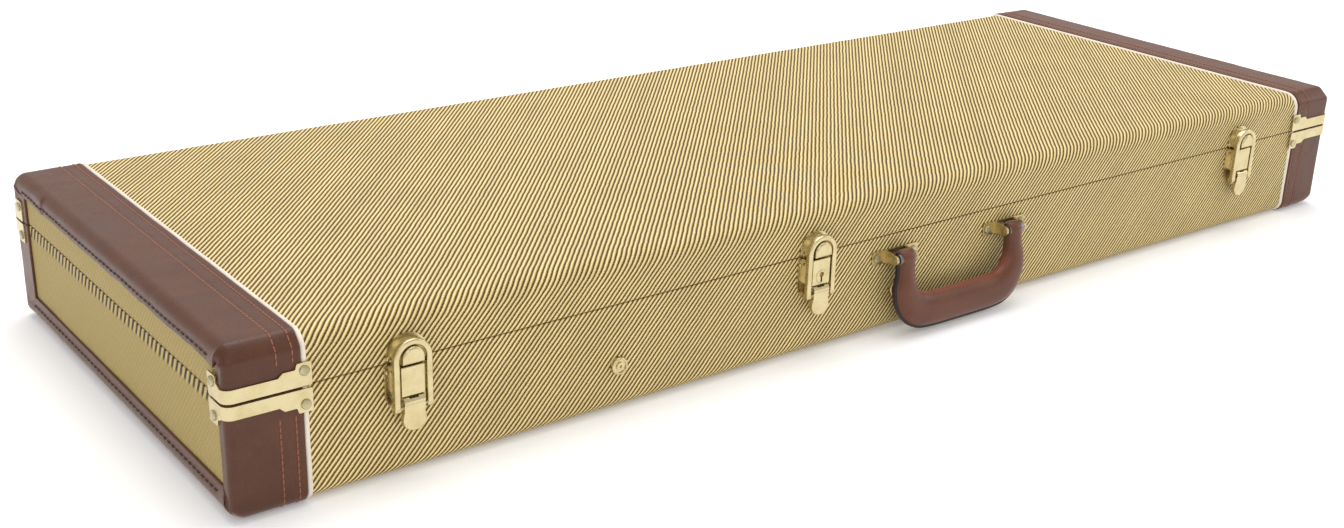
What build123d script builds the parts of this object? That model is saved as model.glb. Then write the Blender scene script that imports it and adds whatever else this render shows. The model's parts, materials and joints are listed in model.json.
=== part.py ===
from build123d import *
import os

# Hard-shell guitar case, closed and lying flat.
# Frame: +X towards the right-hand end, the latches and the handle face -Y, +Z up.
# The origin is the centre of the footprint, on the surface that the case lies on. Millimetres.

# ---- overall size, measured over the leather ends
case_length = 1040.0
case_width = 368.0
case_height = 109.0
seam_z = 75.5
seam_gap = 0.6
plan_radius = 5.0
top_radius = 13.0
bottom_radius = 10.0
end_top_radius = 8.0
end_bottom_radius = 11.0

# ---- layers, given as the depth of each surface below the leather
piping_depth = 0.2
tweed_depth = 1.5
shell_depth = 2.5
inside_depth = 7.5
lip_depth = 8.0
lining_depth = 9.5
plush_depth = 11.5

# ---- covering of the ends
cap_length = 46.5
piping_width = 3.4
window_front = -173.0
window_back = 158.0
window_low = 21.0
window_high = 95.0

# ---- hardware positions
latch_places = {"left": -407.4, "centre": -89.0, "right": 392.0}
handle_x = 46.0
handle_spread = 57.0
handle_z = 60.0
handle_standoff = 11.0
handle_tilt = 6.0
stud_places = (-254.5, -8.0)
stud_z = 33.0
hinge_places = (-360.0, 0.0, 360.0)
hinge_standoff = 3.8
foot_places = (-220.0, 220.0)
foot_heights = (20.0, 58.0)

# ---- derived
half_length = case_length / 2
half_width = case_width / 2
front_face = half_width - tweed_depth
base_rim = seam_z - seam_gap / 2
lid_rim = seam_z + seam_gap / 2
cap_edge = half_length - cap_length
piping_edge = cap_edge - piping_width
far = 2 * case_length

os.makedirs("parts", exist_ok=True)


def save(piece, name):
    piece.label = name
    export_step(piece, f"parts/{name}.step")


# ------------------------------------------------------------------ planes
def front_plane(x, out=0.0):
    """Local x is +X, local y is +Z, and the normal points out of the tweed front."""
    return Plane(origin=(x, -front_face - out, 0), x_dir=(1, 0, 0), z_dir=(0, -1, 0))


def back_plane(x, out=0.0):
    """Local x is -X, local y is +Z, and the normal points out of the tweed back."""
    return Plane(origin=(x, front_face + out, 0), x_dir=(-1, 0, 0), z_dir=(0, 1, 0))


def side_plane(x):
    """Section across the front face: local x points out of it, local y is +Z."""
    return Plane(origin=(x, -front_face, 0), x_dir=(0, -1, 0), z_dir=(-1, 0, 0))


# ------------------------------------------------------------------ the layered body
def envelope(depth, low, high):
    """The case's outer form, shrunk by depth on every side and cut off at two heights."""
    low = max(low, depth)
    high = min(high, case_height - depth)
    middle = case_height / 2
    with BuildPart() as form:
        with BuildSketch(Plane.XY.offset(low)):
            RectangleRounded(case_length - 2 * depth, case_width - 2 * depth,
                             max(plan_radius - depth, 1))
        extrude(amount=high - low)
        for plane, span, upper, lower in ((Plane.YZ, case_width, top_radius, bottom_radius),
                                          (Plane.XZ, case_length, end_top_radius, end_bottom_radius)):
            with BuildSketch(plane) as outline:
                with Locations((0, middle)):
                    Rectangle(span - 2 * depth, case_height - 2 * depth)
                fillet(outline.vertices().group_by(Axis.Y)[-1], max(upper - depth, 1))
                fillet(outline.vertices().group_by(Axis.Y)[0], max(lower - depth, 1))
            extrude(amount=far, both=True, mode=Mode.INTERSECT)
    return form.part


def layer(outer_depth, inner_depth, low, high):
    """The skin between two depths: open at the seam, closed at the top or the bottom."""
    outer = envelope(outer_depth, low, high)
    inner = envelope(inner_depth, low - 1, high + 1)
    with BuildPart() as skin:
        add(outer)
        add(inner, mode=Mode.SUBTRACT)
    return skin.part


def slab(x_low, x_high, y_low, y_high, z_low, z_high):
    """A plain block given by its limits."""
    with BuildPart() as block:
        with BuildSketch(Plane.XY.offset(z_low)):
            with Locations(((x_low + x_high) / 2, (y_low + y_high) / 2)):
                Rectangle(x_high - x_low, y_high - y_low)
        extrude(amount=z_high - z_low)
    return block.part


def tweed_wrap(low, high):
    """Cloth over the front, back and top or bottom, between the two leather ends."""
    skin = layer(tweed_depth, shell_depth, low, high)
    keep = slab(-piping_edge, piping_edge, -half_width, half_width, -1, case_height + 1)
    with BuildPart() as wrap:
        add(skin)
        add(keep, mode=Mode.INTERSECT)
    return wrap.part


def end_window(sign, low, high):
    """The space inside one end's leather frame."""
    x_limits = sorted((sign * (half_length - 12), sign * (half_length + 1)))
    return slab(*x_limits, window_front, window_back, max(low, window_low), min(high, window_high))


def end_panels(low, high):
    """Cloth seen inside the leather frames: one panel on each end."""
    skin = layer(tweed_depth, shell_depth, low, high)
    with BuildPart() as panels:
        for sign in (-1, 1):
            add(end_window(sign, low, high))
        add(skin, mode=Mode.INTERSECT)
    return panels.part


def leather_cap(sign, low, high):
    """Leather over one end, with a window on the end face."""
    skin = layer(0, shell_depth, low, high)
    x_limits = sorted((sign * cap_edge, sign * (half_length + 1)))
    keep = slab(*x_limits, -half_width - 1, half_width + 1, -1, case_height + 1)
    window = end_window(sign, low - 1, high + 1)
    with BuildPart() as cap:
        add(skin)
        add(keep, mode=Mode.INTERSECT)
        add(window, mode=Mode.SUBTRACT)
    return cap.part


def piping_pair(low, high):
    """Piping along the inner edge of both leather ends."""
    skin = layer(piping_depth, shell_depth, low, high)
    with BuildPart() as piping:
        for sign in (-1, 1):
            x_limits = sorted((sign * piping_edge, sign * cap_edge))
            add(slab(*x_limits, -half_width - 1, half_width + 1, -1, case_height + 1))
        add(skin, mode=Mode.INTERSECT)
    return piping.part


# ------------------------------------------------------------------ fasteners
def rivet_blank(head_radius, head_height, shank_radius, shank_length):
    """A rivet standing on the XY plane: rounded head above it and shank below it."""
    with BuildPart() as blank:
        with BuildSketch(Plane.XY):
            Circle(head_radius)
        extrude(amount=head_height)
        fillet(blank.faces().sort_by(Axis.Z)[-1].edges(), head_height * 0.8)
        with BuildSketch(Plane.XY):
            Circle(shank_radius)
        extrude(amount=-shank_length)
    return blank.part


def shank_blank(shank_radius, shank_length):
    """The hole that a rivet's or screw's shank needs, from just above the XY plane downwards."""
    with BuildPart() as blank:
        with BuildSketch(Plane.XY.offset(0.3)):
            Circle(shank_radius)
        extrude(amount=-shank_length - 0.3)
    return blank.part


def group(places, blank):
    """One copy of a blank at each place, as separate solids."""
    with BuildPart() as copies:
        for place in places:
            add(place.location * blank)
    return copies.part


def drilled(piece, *shank_groups):
    """A piece with the shanks of its fasteners cut out of it."""
    with BuildPart() as result:
        add(piece)
        for shanks in shank_groups:
            add(shanks, mode=Mode.SUBTRACT)
    return result.part


def on_plane(plane, across, up):
    """The same plane with its origin moved across and up within itself."""
    return Plane(origin=plane.from_local_coords((across, up, 0)), x_dir=plane.x_dir, z_dir=plane.z_dir)


# ------------------------------------------------------------------ corner brackets
bracket_thickness = 1.0
bracket_strap = 8.3
bracket_lobe = 14.5
bracket_front_length = 52.0
bracket_end_length = 20.0
bracket_front_rivet = 47.5
bracket_end_rivet = 14.3
bracket_rivet_rise = 9.6
bracket_gap = 1.8
base_bracket_edge = seam_z - bracket_gap / 2
lid_bracket_edge = seam_z + bracket_gap / 2


def lobe_outline(length, lobe_start, step_start, step_rise):
    """Bracket arm seen square on: a narrow strap that steps up to a wider rivet lobe."""
    return [(0, 0), (length, 0), (length, bracket_lobe), (lobe_start, bracket_lobe),
            (lobe_start - 1.0, step_rise), (step_start + 3.0, step_rise),
            (step_start, bracket_strap), (0, bracket_strap)]


def corner_bracket(side, face, edge_z, up):
    """Pressed strap round one vertical corner, with a rivet lobe at each end."""
    front_arm = lobe_outline(bracket_front_length, 43.0, 31.5, 11.0)
    end_arm = lobe_outline(bracket_end_length, 9.5, 4.0, 10.0)
    with BuildPart() as bracket:
        with BuildSketch(Plane.XZ.offset(-face * half_width)) as arm:
            with BuildLine():
                Polyline([(side * (half_length - a), edge_z + up * h) for a, h in front_arm], close=True)
            make_face()
            fillet(arm.vertices(), 1.1)
        extrude(amount=plan_radius + 1, both=True)
        with BuildSketch(Plane.YZ.offset(side * half_length)) as arm:
            with BuildLine():
                Polyline([(face * (half_width - a), edge_z + up * h) for a, h in end_arm], close=True)
            make_face()
            fillet(arm.vertices(), 1.0)
        extrude(amount=plan_radius + 1, both=True)
        with BuildSketch(Plane.XY.offset(edge_z)):
            RectangleRounded(case_length + 2 * bracket_thickness, case_width + 2 * bracket_thickness,
                             plan_radius + bracket_thickness)
            RectangleRounded(case_length, case_width, plan_radius, mode=Mode.SUBTRACT)
        extrude(amount=2 * bracket_lobe, both=True, mode=Mode.INTERSECT)
    return bracket.part


def bracket_rivet_places(edge_z, up):
    """Rivet planes for the four brackets of one half of the case."""
    z = edge_z + up * bracket_rivet_rise
    places = []
    for side in (-1, 1):
        for face in (-1, 1):
            x = side * (half_length - bracket_front_rivet)
            y = face * (half_width + bracket_thickness)
            places.append(Plane(origin=(x, y, z), x_dir=(-face, 0, 0), z_dir=(0, face, 0)))
            x = side * (half_length + bracket_thickness)
            y = face * (half_width - bracket_end_rivet)
            places.append(Plane(origin=(x, y, z), x_dir=(0, side, 0), z_dir=(side, 0, 0)))
    return places


bracket_rivet = rivet_blank(3.2, 1.2, 1.4, 6.5)
bracket_shank = shank_blank(1.4, 6.5)
base_bracket_places = bracket_rivet_places(base_bracket_edge, -1)
lid_bracket_places = bracket_rivet_places(lid_bracket_edge, 1)
base_bracket_shanks = group(base_bracket_places, bracket_shank)
lid_bracket_shanks = group(lid_bracket_places, bracket_shank)
save(group(base_bracket_places, bracket_rivet), "base_bracket_rivets")
save(group(lid_bracket_places, bracket_rivet), "lid_bracket_rivets")


def bracket_set(edge_z, up):
    """Four corner brackets as separate solids."""
    made = [corner_bracket(side, face, edge_z, up) for side in (-1, 1) for face in (-1, 1)]
    with BuildPart() as brackets:
        for piece in made:
            add(piece)
    return brackets.part


save(drilled(bracket_set(base_bracket_edge, -1), base_bracket_shanks), "base_corner_brackets")
save(drilled(bracket_set(lid_bracket_edge, 1), lid_bracket_shanks), "lid_corner_brackets")

# ------------------------------------------------------------------ draw latches
plate_thickness = 1.2
plate_half_width = 15.0
plate_low = 41.0
pan_half_width = 11.2
pan_out = 6.0
block_low = 55.7
block_high = 74.8
block_out = 8.6
pivot_z = 52.0
pivot_out = 7.0
pivot_pin_radius = 1.2
barrel_radius = 3.2
lug_half_width = 2.8
lever_half_width = 7.9
tongue_low = 33.2
tongue_arc_z = 40.5
tongue_waist_z = 46.0
tongue_waist = 6.9
tongue_top = 54.2
tongue_in = 6.5
tongue_out = 9.8
web_in = 4.2
web_low = 45.5
fork_low = 48.7
fork_high = 56.0
eye_radius = 2.4
stud_pivot_z = 48.3
stud_radius = 1.3
loop_inner = 8.9
loop_outer = 12.8
loop_in = 6.2
loop_out = 9.8
loop_arch_z = 79.2
boss_radius = 7.4
boss_arch_z = 80.1
boss_out = 10.8
keeper_radius = loop_outer + 1.0
keeper_low = 76.6
lock_z = 62.0
lock_radius = 4.8
lug_radius = 2.0
lug_neck = 2.6
fork_out = 9.2
running_gap = 0.05
latch_plate_rivet_spots = ((-13.1, 70.5), (13.1, 70.5), (-5.0, 44.6), (5.0, 44.6))
keeper_rivet_spots = ((-12.4, 79.0), (12.4, 79.0))
keeper_pan_radius = 11.0

latch_rivet = rivet_blank(1.3, 0.9, 1.1, 6.0)
latch_shank = shank_blank(1.1, 6.0)
latch_plate_places = [on_plane(front_plane(x, plate_thickness), across, up)
                      for x in latch_places.values() for across, up in latch_plate_rivet_spots]
keeper_places = [on_plane(front_plane(x, plate_thickness), across, up)
                 for x in latch_places.values() for across, up in keeper_rivet_spots]
latch_plate_shanks = group(latch_plate_places, latch_shank)
keeper_shanks = group(keeper_places, latch_shank)
save(group(latch_plate_places, latch_rivet), "latch_plate_rivets")
save(group(keeper_places, latch_rivet), "keeper_rivets")


def latch_plate(x, has_lock):
    """Fixed half of a latch: flange, raised pan, housing block and pivot lug."""
    left_edge = [(-3.0, plate_low), (-7.4, 43.4), (-12.3, 48.2), (-plate_half_width, 55.0),
                 (-plate_half_width, block_high)]
    right_edge = [(-across, up) for across, up in reversed(left_edge)]
    with BuildPart() as plate:
        with BuildSketch(front_plane(x, plate_thickness)):
            with Locations((0, (block_low + block_high) / 2)):
                RectangleRounded(2 * pan_half_width, block_high - block_low, 2.5)
        extrude(amount=pan_out - plate_thickness)
        fillet(plate.faces().sort_by(Axis.Y)[0].edges(), 1.6)
        with BuildSketch(front_plane(x, plate_thickness)):
            with Locations((0, (block_low + block_high) / 2)):
                RectangleRounded(2 * lever_half_width, block_high - block_low, 1.0)
        extrude(amount=block_out - plate_thickness)
        fillet(plate.faces().sort_by(Axis.Y)[0].edges(), 0.7)
        with BuildSketch(front_plane(x)) as outline:
            with BuildLine():
                Polyline(left_edge + right_edge, close=True)
            make_face()
            fillet(outline.vertices(), 2.0)
        extrude(amount=plate_thickness)
        with BuildSketch(side_plane(x)):
            with Locations((pivot_out / 2 + 0.5, pivot_z)):
                Rectangle(pivot_out - 1.0, lug_neck)
            with Locations((pivot_out, pivot_z)):
                Circle(lug_radius)
        extrude(amount=lug_half_width, both=True)
        with BuildSketch(side_plane(x)):
            with Locations((pivot_out, pivot_z)):
                Circle(pivot_pin_radius)
        extrude(amount=lug_half_width + 1, both=True, mode=Mode.SUBTRACT)
        if has_lock:
            with BuildSketch(front_plane(x, plate_thickness)):
                with Locations((0, lock_z)):
                    Circle(lock_radius + running_gap)
            extrude(amount=block_out, mode=Mode.SUBTRACT)
    return plate.part


def latch_lever(x):
    """Tongue that is pulled up, its split barrel, and the studs that carry the loop."""
    with BuildPart() as lever:
        with BuildSketch(front_plane(x, tongue_in)) as outline:
            with BuildLine():
                Polyline([(-lever_half_width, tongue_arc_z), (-tongue_waist, tongue_waist_z),
                          (-tongue_waist, tongue_top), (tongue_waist, tongue_top),
                          (tongue_waist, tongue_waist_z), (lever_half_width, tongue_arc_z)])
                ThreePointArc((lever_half_width, tongue_arc_z), (0, tongue_low),
                              (-lever_half_width, tongue_arc_z))
            make_face()
        extrude(amount=tongue_out - tongue_in)
        fillet(lever.faces().sort_by(Axis.Y)[0].edges(), 0.8)
        with BuildSketch(side_plane(x)):
            with Locations((pivot_out, pivot_z)):
                Circle(barrel_radius)
            with Locations(((web_in + tongue_out) / 2, (web_low + pivot_z) / 2)):
                Rectangle(tongue_out - web_in, pivot_z - web_low)
        extrude(amount=tongue_waist, both=True)
        with BuildSketch(side_plane(x)):
            with Locations((pivot_out, stud_pivot_z)):
                Circle(stud_radius)
        extrude(amount=loop_outer - 0.4, both=True)
        with BuildSketch(side_plane(x)):
            with Locations((fork_out / 2, (fork_low + fork_high) / 2)):
                Rectangle(fork_out, fork_high - fork_low)
        extrude(amount=lug_half_width + 0.3, both=True, mode=Mode.SUBTRACT)
        with BuildSketch(side_plane(x)):
            with Locations((pivot_out, pivot_z)):
                Circle(pivot_pin_radius + running_gap)
        extrude(amount=lever_half_width + 1, both=True, mode=Mode.SUBTRACT)
    return lever.part


def latch_loop(x):
    """Arched loop that turns on the lever's studs and hooks over the keeper's boss."""
    with BuildPart() as loop:
        with BuildSketch(front_plane(x, loop_in)):
            with Locations((0, loop_arch_z)):
                Circle(loop_outer)
            with Locations((0, (loop_arch_z + stud_pivot_z) / 2)):
                Rectangle(2 * loop_outer, loop_arch_z - stud_pivot_z)
            with Locations((0, loop_arch_z)):
                Circle(loop_inner, mode=Mode.SUBTRACT)
            with Locations((0, loop_arch_z - 25)):
                Rectangle(2 * loop_inner, 50, mode=Mode.SUBTRACT)
        extrude(amount=loop_out - loop_in)
        fillet(loop.faces().sort_by(Axis.Y)[0].edges(), 1.3)
        for side in (-1, 1):
            with BuildSketch(side_plane(x + side * (loop_inner + loop_outer) / 2)):
                with Locations((pivot_out, stud_pivot_z)):
                    Circle(eye_radius)
            extrude(amount=(loop_outer - loop_inner) / 2, both=True)
        with BuildSketch(side_plane(x)):
            with Locations((pivot_out, stud_pivot_z)):
                Circle(stud_radius + running_gap)
        extrude(amount=loop_outer + 1, both=True, mode=Mode.SUBTRACT)
    return loop.part


def arch(radius, centre_z):
    """A disc cut off level with the keeper's lower edge, with its sides carried straight down."""
    with Locations((0, centre_z)):
        Circle(radius)
    with Locations((0, centre_z - radius)):
        Rectangle(2 * radius, 2 * radius)
    with Locations((0, keeper_low - 2 * radius)):
        Rectangle(4 * radius, 4 * radius, mode=Mode.SUBTRACT)


def latch_keeper(x):
    """Lid half of a latch: arched flange, raised pan and the boss that the loop hooks."""
    with BuildPart() as keeper:
        with BuildSketch(front_plane(x, plate_thickness)):
            arch(keeper_pan_radius, loop_arch_z)
        extrude(amount=pan_out - plate_thickness)
        fillet(keeper.faces().sort_by(Axis.Y)[0].edges(), 1.6)
        with BuildSketch(front_plane(x, plate_thickness)):
            arch(boss_radius, boss_arch_z)
        extrude(amount=boss_out - plate_thickness)
        fillet(keeper.faces().sort_by(Axis.Y)[0].edges(), 1.8)
        with BuildSketch(front_plane(x)):
            with Locations((0, loop_arch_z)):
                Circle(keeper_radius)
            with Locations((0, keeper_low - keeper_radius)):
                Rectangle(3 * keeper_radius, 2 * keeper_radius, mode=Mode.SUBTRACT)
        extrude(amount=plate_thickness)
    return keeper.part


for place_name, place_x in latch_places.items():
    keyed = place_name == "centre"
    save(drilled(latch_plate(place_x, keyed), latch_plate_shanks), f"latch_plate_{place_name}")
    save(latch_lever(place_x), f"latch_lever_{place_name}")
    save(latch_loop(place_x), f"latch_loop_{place_name}")
    save(drilled(latch_keeper(place_x), keeper_shanks), f"latch_keeper_{place_name}")

with BuildPart() as latch_pins:
    for place_x in latch_places.values():
        with BuildSketch(side_plane(place_x)):
            with Locations((pivot_out, pivot_z)):
                Circle(pivot_pin_radius)
        extrude(amount=lever_half_width - 0.3, both=True)
save(latch_pins.part, "latch_pins")

lock_proud = 0.3
lock_edge = 0.4
keyhole_depth = 2.5
keyhole_radius = 2.0
keyhole_rise = 1.4
key_slot_width = 1.5
key_slot_drop = 4.2
with BuildPart() as lock_cylinder:
    with BuildSketch(front_plane(latch_places["centre"], plate_thickness + lock_proud)):
        with Locations((0, lock_z)):
            Circle(lock_radius)
    extrude(amount=block_out - plate_thickness)
    fillet(lock_cylinder.faces().sort_by(Axis.Y)[0].edges(), lock_edge)
    with BuildSketch(front_plane(latch_places["centre"], block_out - keyhole_depth)):
        with Locations((0, lock_z + keyhole_rise)):
            Circle(keyhole_radius)
        with Locations((0, lock_z + (keyhole_rise - key_slot_drop) / 2)):
            Rectangle(key_slot_width, keyhole_rise + key_slot_drop)
    extrude(amount=2 * keyhole_depth, mode=Mode.SUBTRACT)
save(lock_cylinder.part, "lock_cylinder")

# ------------------------------------------------------------------ handle
handle_plate_length = 45.0
handle_plate_height = 10.0
handle_plate_thickness = 1.3
cheek_in = 8.6
cheek_out = 10.8
handle_pin_radius = 2.0
arm_half_width = 8.0
grip_half_thickness = 7.5
strap_thickness = 2.5
handle_centres = (handle_x - handle_spread, handle_x + handle_spread)
handle_rivet_spots = (-18.3, 18.3)

handle_rivet = rivet_blank(3.1, 1.5, 1.5, 6.2)
handle_shank = shank_blank(1.5, 6.2)
handle_rivet_places = [on_plane(front_plane(x, handle_plate_thickness), across, handle_z)
                       for x in handle_centres for across in handle_rivet_spots]
handle_shanks = group(handle_rivet_places, handle_shank)
save(group(handle_rivet_places, handle_rivet), "handle_bracket_rivets")


def handle_bracket(x):
    """Riveted plate with two cheeks that hold the handle's pin."""
    with BuildPart() as bracket:
        with BuildSketch(front_plane(x)):
            with Locations((0, handle_z)):
                RectangleRounded(handle_plate_length, handle_plate_height, 2.0)
        extrude(amount=handle_plate_thickness)
        for side in (-1, 1):
            with BuildSketch(side_plane(x + side * (cheek_in + cheek_out) / 2)):
                with BuildLine():
                    Polyline([(1.0, handle_z - 4.8), (10.2, handle_z - 3.4), (10.2, handle_z + 3.4),
                              (1.0, handle_z + 4.8)], close=True)
                make_face()
                with Locations((handle_standoff, handle_z)):
                    Circle(3.6)
            extrude(amount=(cheek_out - cheek_in) / 2, both=True)
        with BuildSketch(side_plane(x)):
            with Locations((handle_standoff, handle_z)):
                Circle(handle_pin_radius)
        extrude(amount=cheek_out + 1, both=True, mode=Mode.SUBTRACT)
    return bracket.part


save(drilled(handle_bracket(handle_centres[0]), handle_shanks), "handle_bracket_left")
save(drilled(handle_bracket(handle_centres[1]), handle_shanks), "handle_bracket_right")

with BuildPart() as handle_pins:
    for place_x in handle_centres:
        with BuildSketch(side_plane(place_x)):
            with Locations((handle_standoff, handle_z)):
                Circle(handle_pin_radius)
        extrude(amount=cheek_out + 0.9, both=True)
save(handle_pins.part, "handle_pins")

handle_origin = (handle_x, -front_face - handle_standoff, handle_z)
handle_plane = Plane(origin=handle_origin, x_dir=(1, 0, 0), z_dir=(0, -1, 0)).rotated((-handle_tilt, 0, 0))

with BuildPart() as handle_core:
    with BuildSketch(handle_plane):
        with BuildLine() as strap_path:
            Polyline([(-57, -2), (-58, -34), (-46, -45), (46, -45), (58, -34), (57, -2)])
            fillet(strap_path.vertices().sort_by(Axis.Y)[0:4], 9)
        trace(line_width=strap_thickness)
    extrude(amount=4.5, both=True)
    for place_x in handle_centres:
        with BuildSketch(side_plane(place_x)):
            with Locations((handle_standoff, handle_z)):
                Circle(4.4)
        extrude(amount=arm_half_width - 0.5, both=True)
core_filled = handle_core.part

with BuildPart() as eye_bores:
    for place_x in handle_centres:
        with BuildSketch(side_plane(place_x)):
            with Locations((handle_standoff, handle_z)):
                Circle(handle_pin_radius + running_gap)
        extrude(amount=arm_half_width + 2, both=True)
save(drilled(core_filled, eye_bores.part), "handle_core")

with BuildPart() as handle_grip:
    with BuildSketch(handle_plane) as grip_outline:
        with BuildLine():
            Polyline([(-65, 5.6), (-65, -12.5), (-68.5, -22), (-67, -36), (-46, -57.5), (46, -57.5),
                      (67, -36), (68.5, -22), (65, -12.5), (65, 5.6), (49, 5.6), (49, -12.5), (47, -21),
                      (37, -30), (-37, -30), (-47, -21), (-49, -12.5), (-49, 5.6)], close=True)
        make_face()
        fillet(grip_outline.vertices().sort_by(Axis.Y)[0:4], 14)
        fillet(grip_outline.vertices().group_by(Axis.Y)[-1], 4)
    extrude(amount=grip_half_thickness, both=True)
    rounded = handle_grip.edges().filter_by(GeomType.LINE).filter_by(Axis.X)
    fillet(rounded.sort_by(Axis.Z)[0:2], 5)
    add(core_filled, mode=Mode.SUBTRACT)
    add(eye_bores.part, mode=Mode.SUBTRACT)
save(handle_grip.part, "handle_grip")

# ------------------------------------------------------------------ divider studs and back feet
stud_radius_head = 6.2
stud_height = 3.2
stud_shank_radius = 1.8
stud_shank_length = 26.0
stud_planes = [on_plane(front_plane(x), 0, stud_z) for x in stud_places]
stud_shanks = group(stud_planes, shank_blank(stud_shank_radius, stud_shank_length))
with BuildPart() as stud_blank:
    with BuildSketch(Plane.XY):
        Circle(stud_radius_head)
    extrude(amount=stud_height)
    fillet(stud_blank.faces().sort_by(Axis.Z)[-1].edges(), 1.4)
    with BuildSketch(Plane.XY.offset(stud_height - 0.9)):
        Circle(4.5)
        Circle(2.9, mode=Mode.SUBTRACT)
    extrude(amount=stud_height, mode=Mode.SUBTRACT)
    with BuildSketch(Plane.XY.offset(stud_height - 1.1)):
        Circle(1.1)
    extrude(amount=stud_height, mode=Mode.SUBTRACT)
    with BuildSketch(Plane.XY):
        Circle(stud_shank_radius)
    extrude(amount=-stud_shank_length)
save(group(stud_planes, stud_blank.part), "front_studs")

foot_radius = 11.0
foot_height = 9.0
foot_planes = [on_plane(back_plane(0), across, up) for across in foot_places for up in foot_heights]
with BuildPart() as foot_blank:
    with BuildSketch(Plane.XY):
        Circle(foot_radius)
    extrude(amount=foot_height, taper=8)
    fillet(foot_blank.faces().sort_by(Axis.Z)[-1].edges(), 1.0)
    with BuildSketch(Plane.XY.offset(3.0)):
        Circle(4.2)
    extrude(amount=foot_height, mode=Mode.SUBTRACT)
    with BuildSketch(Plane.XY):
        Circle(1.8)
    extrude(amount=3.0, mode=Mode.SUBTRACT)
save(group(foot_planes, foot_blank.part), "rear_feet")

with BuildPart() as foot_screw:
    with BuildSketch(Plane.XY.offset(3.0)):
        Circle(3.8)
    extrude(amount=2.2)
    fillet(foot_screw.faces().sort_by(Axis.Z)[-1].edges(), 1.2)
    with BuildSketch(Plane.XY.offset(4.2)):
        Rectangle(4.4, 0.9)
        Rectangle(0.9, 4.4)
    extrude(amount=2, mode=Mode.SUBTRACT)
    with BuildSketch(Plane.XY.offset(-5.5)):
        Circle(1.8)
    extrude(amount=8.5)
save(group(foot_planes, foot_screw.part), "rear_feet_screws")
foot_shanks = group(foot_planes, shank_blank(1.8, 5.5))

# ------------------------------------------------------------------ back hinges
hinge_axis_y = front_face + hinge_standoff
hinge_length = 50.0
leaf_thickness = 1.2
knuckle_radius = 3.2
hinge_pin_radius = 1.6
middle_knuckle = 8.2
knuckle_gap = 0.4
base_leaf_low = 48.0
base_leaf_high = 71.8
lid_leaf_low = 79.2
lid_leaf_high = 95.0
hinge_rivet_spots = (-18.0, 0.0, 18.0)
base_hinge_rivet_z = 57.0
lid_hinge_rivet_z = 88.0

hinge_rivet = rivet_blank(2.6, 1.1, 1.3, 6.0)
hinge_shank = shank_blank(1.3, 6.0)


def hinge_rivet_places(z):
    return [on_plane(back_plane(x, leaf_thickness), across, z)
            for x in hinge_places for across in hinge_rivet_spots]


base_hinge_shanks = group(hinge_rivet_places(base_hinge_rivet_z), hinge_shank)
lid_hinge_shanks = group(hinge_rivet_places(lid_hinge_rivet_z), hinge_shank)
save(group(hinge_rivet_places(base_hinge_rivet_z), hinge_rivet), "hinge_base_rivets")
save(group(hinge_rivet_places(lid_hinge_rivet_z), hinge_rivet), "hinge_lid_rivets")


def knuckle_spans(outer):
    """Centre and half-length of each knuckle along the hinge."""
    if not outer:
        return [(0.0, middle_knuckle)]
    inner_end = middle_knuckle + knuckle_gap
    half = (hinge_length / 2 - inner_end) / 2
    return [(-inner_end - half, half), (inner_end + half, half)]


def hinge_leaf(x, leaf_low, leaf_high, outer, bore_radius):
    """One leaf with the knuckles that wrap the hinge pin."""
    with BuildPart() as leaf:
        with BuildSketch(back_plane(x)):
            with Locations((0, (leaf_low + leaf_high) / 2)):
                RectangleRounded(hinge_length, leaf_high - leaf_low, 2.5)
            for centre, half in knuckle_spans(outer):
                tab_low = min(seam_z, leaf_low)
                tab_high = max(seam_z, leaf_high)
                with Locations((centre, (tab_low + tab_high) / 2)):
                    Rectangle(2 * half, tab_high - tab_low - 5)
                with Locations((centre, (seam_z + (leaf_low + leaf_high) / 2) / 2)):
                    Rectangle(2 * half, abs((leaf_low + leaf_high) / 2 - seam_z))
        extrude(amount=leaf_thickness)
        for centre, half in knuckle_spans(outer):
            with BuildSketch(Plane.YZ.offset(x + centre)):
                with Locations((hinge_axis_y, seam_z)):
                    Circle(knuckle_radius)
            extrude(amount=half, both=True)
        with BuildSketch(Plane.YZ.offset(x)):
            with Locations((hinge_axis_y, seam_z)):
                Circle(bore_radius)
        extrude(amount=hinge_length, both=True, mode=Mode.SUBTRACT)
    return leaf.part


def hinge_leaves(leaf_low, leaf_high, outer, bore_radius):
    made = [hinge_leaf(x, leaf_low, leaf_high, outer, bore_radius) for x in hinge_places]
    with BuildPart() as leaves:
        for piece in made:
            add(piece)
    return leaves.part


base_leaves = hinge_leaves(base_leaf_low, base_leaf_high, True, hinge_pin_radius)
lid_leaves = hinge_leaves(lid_leaf_low, lid_leaf_high, False, hinge_pin_radius + running_gap)
save(drilled(base_leaves, base_hinge_shanks), "hinge_base_leaves")
save(drilled(lid_leaves, lid_hinge_shanks), "hinge_lid_leaves")

with BuildPart() as hinge_pins:
    for place_x in hinge_places:
        with BuildSketch(Plane.YZ.offset(place_x)):
            with Locations((hinge_axis_y, seam_z)):
                Circle(hinge_pin_radius)
        extrude(amount=hinge_length / 2, both=True)
save(hinge_pins.part, "hinge_pins")

# ------------------------------------------------------------------ base
base_shanks = (base_bracket_shanks, latch_plate_shanks, handle_shanks, stud_shanks, foot_shanks,
               base_hinge_shanks)
save(drilled(layer(shell_depth, inside_depth, 0, base_rim), *base_shanks), "base_shell")
save(drilled(tweed_wrap(0, base_rim), *base_shanks), "base_tweed")
save(drilled(end_panels(0, base_rim), base_bracket_shanks), "base_end_panels")
save(drilled(leather_cap(-1, 0, base_rim), base_bracket_shanks), "base_leather_left")
save(drilled(leather_cap(1, 0, base_rim), base_bracket_shanks), "base_leather_right")
save(drilled(piping_pair(0, base_rim), base_bracket_shanks), "base_piping")

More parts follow.
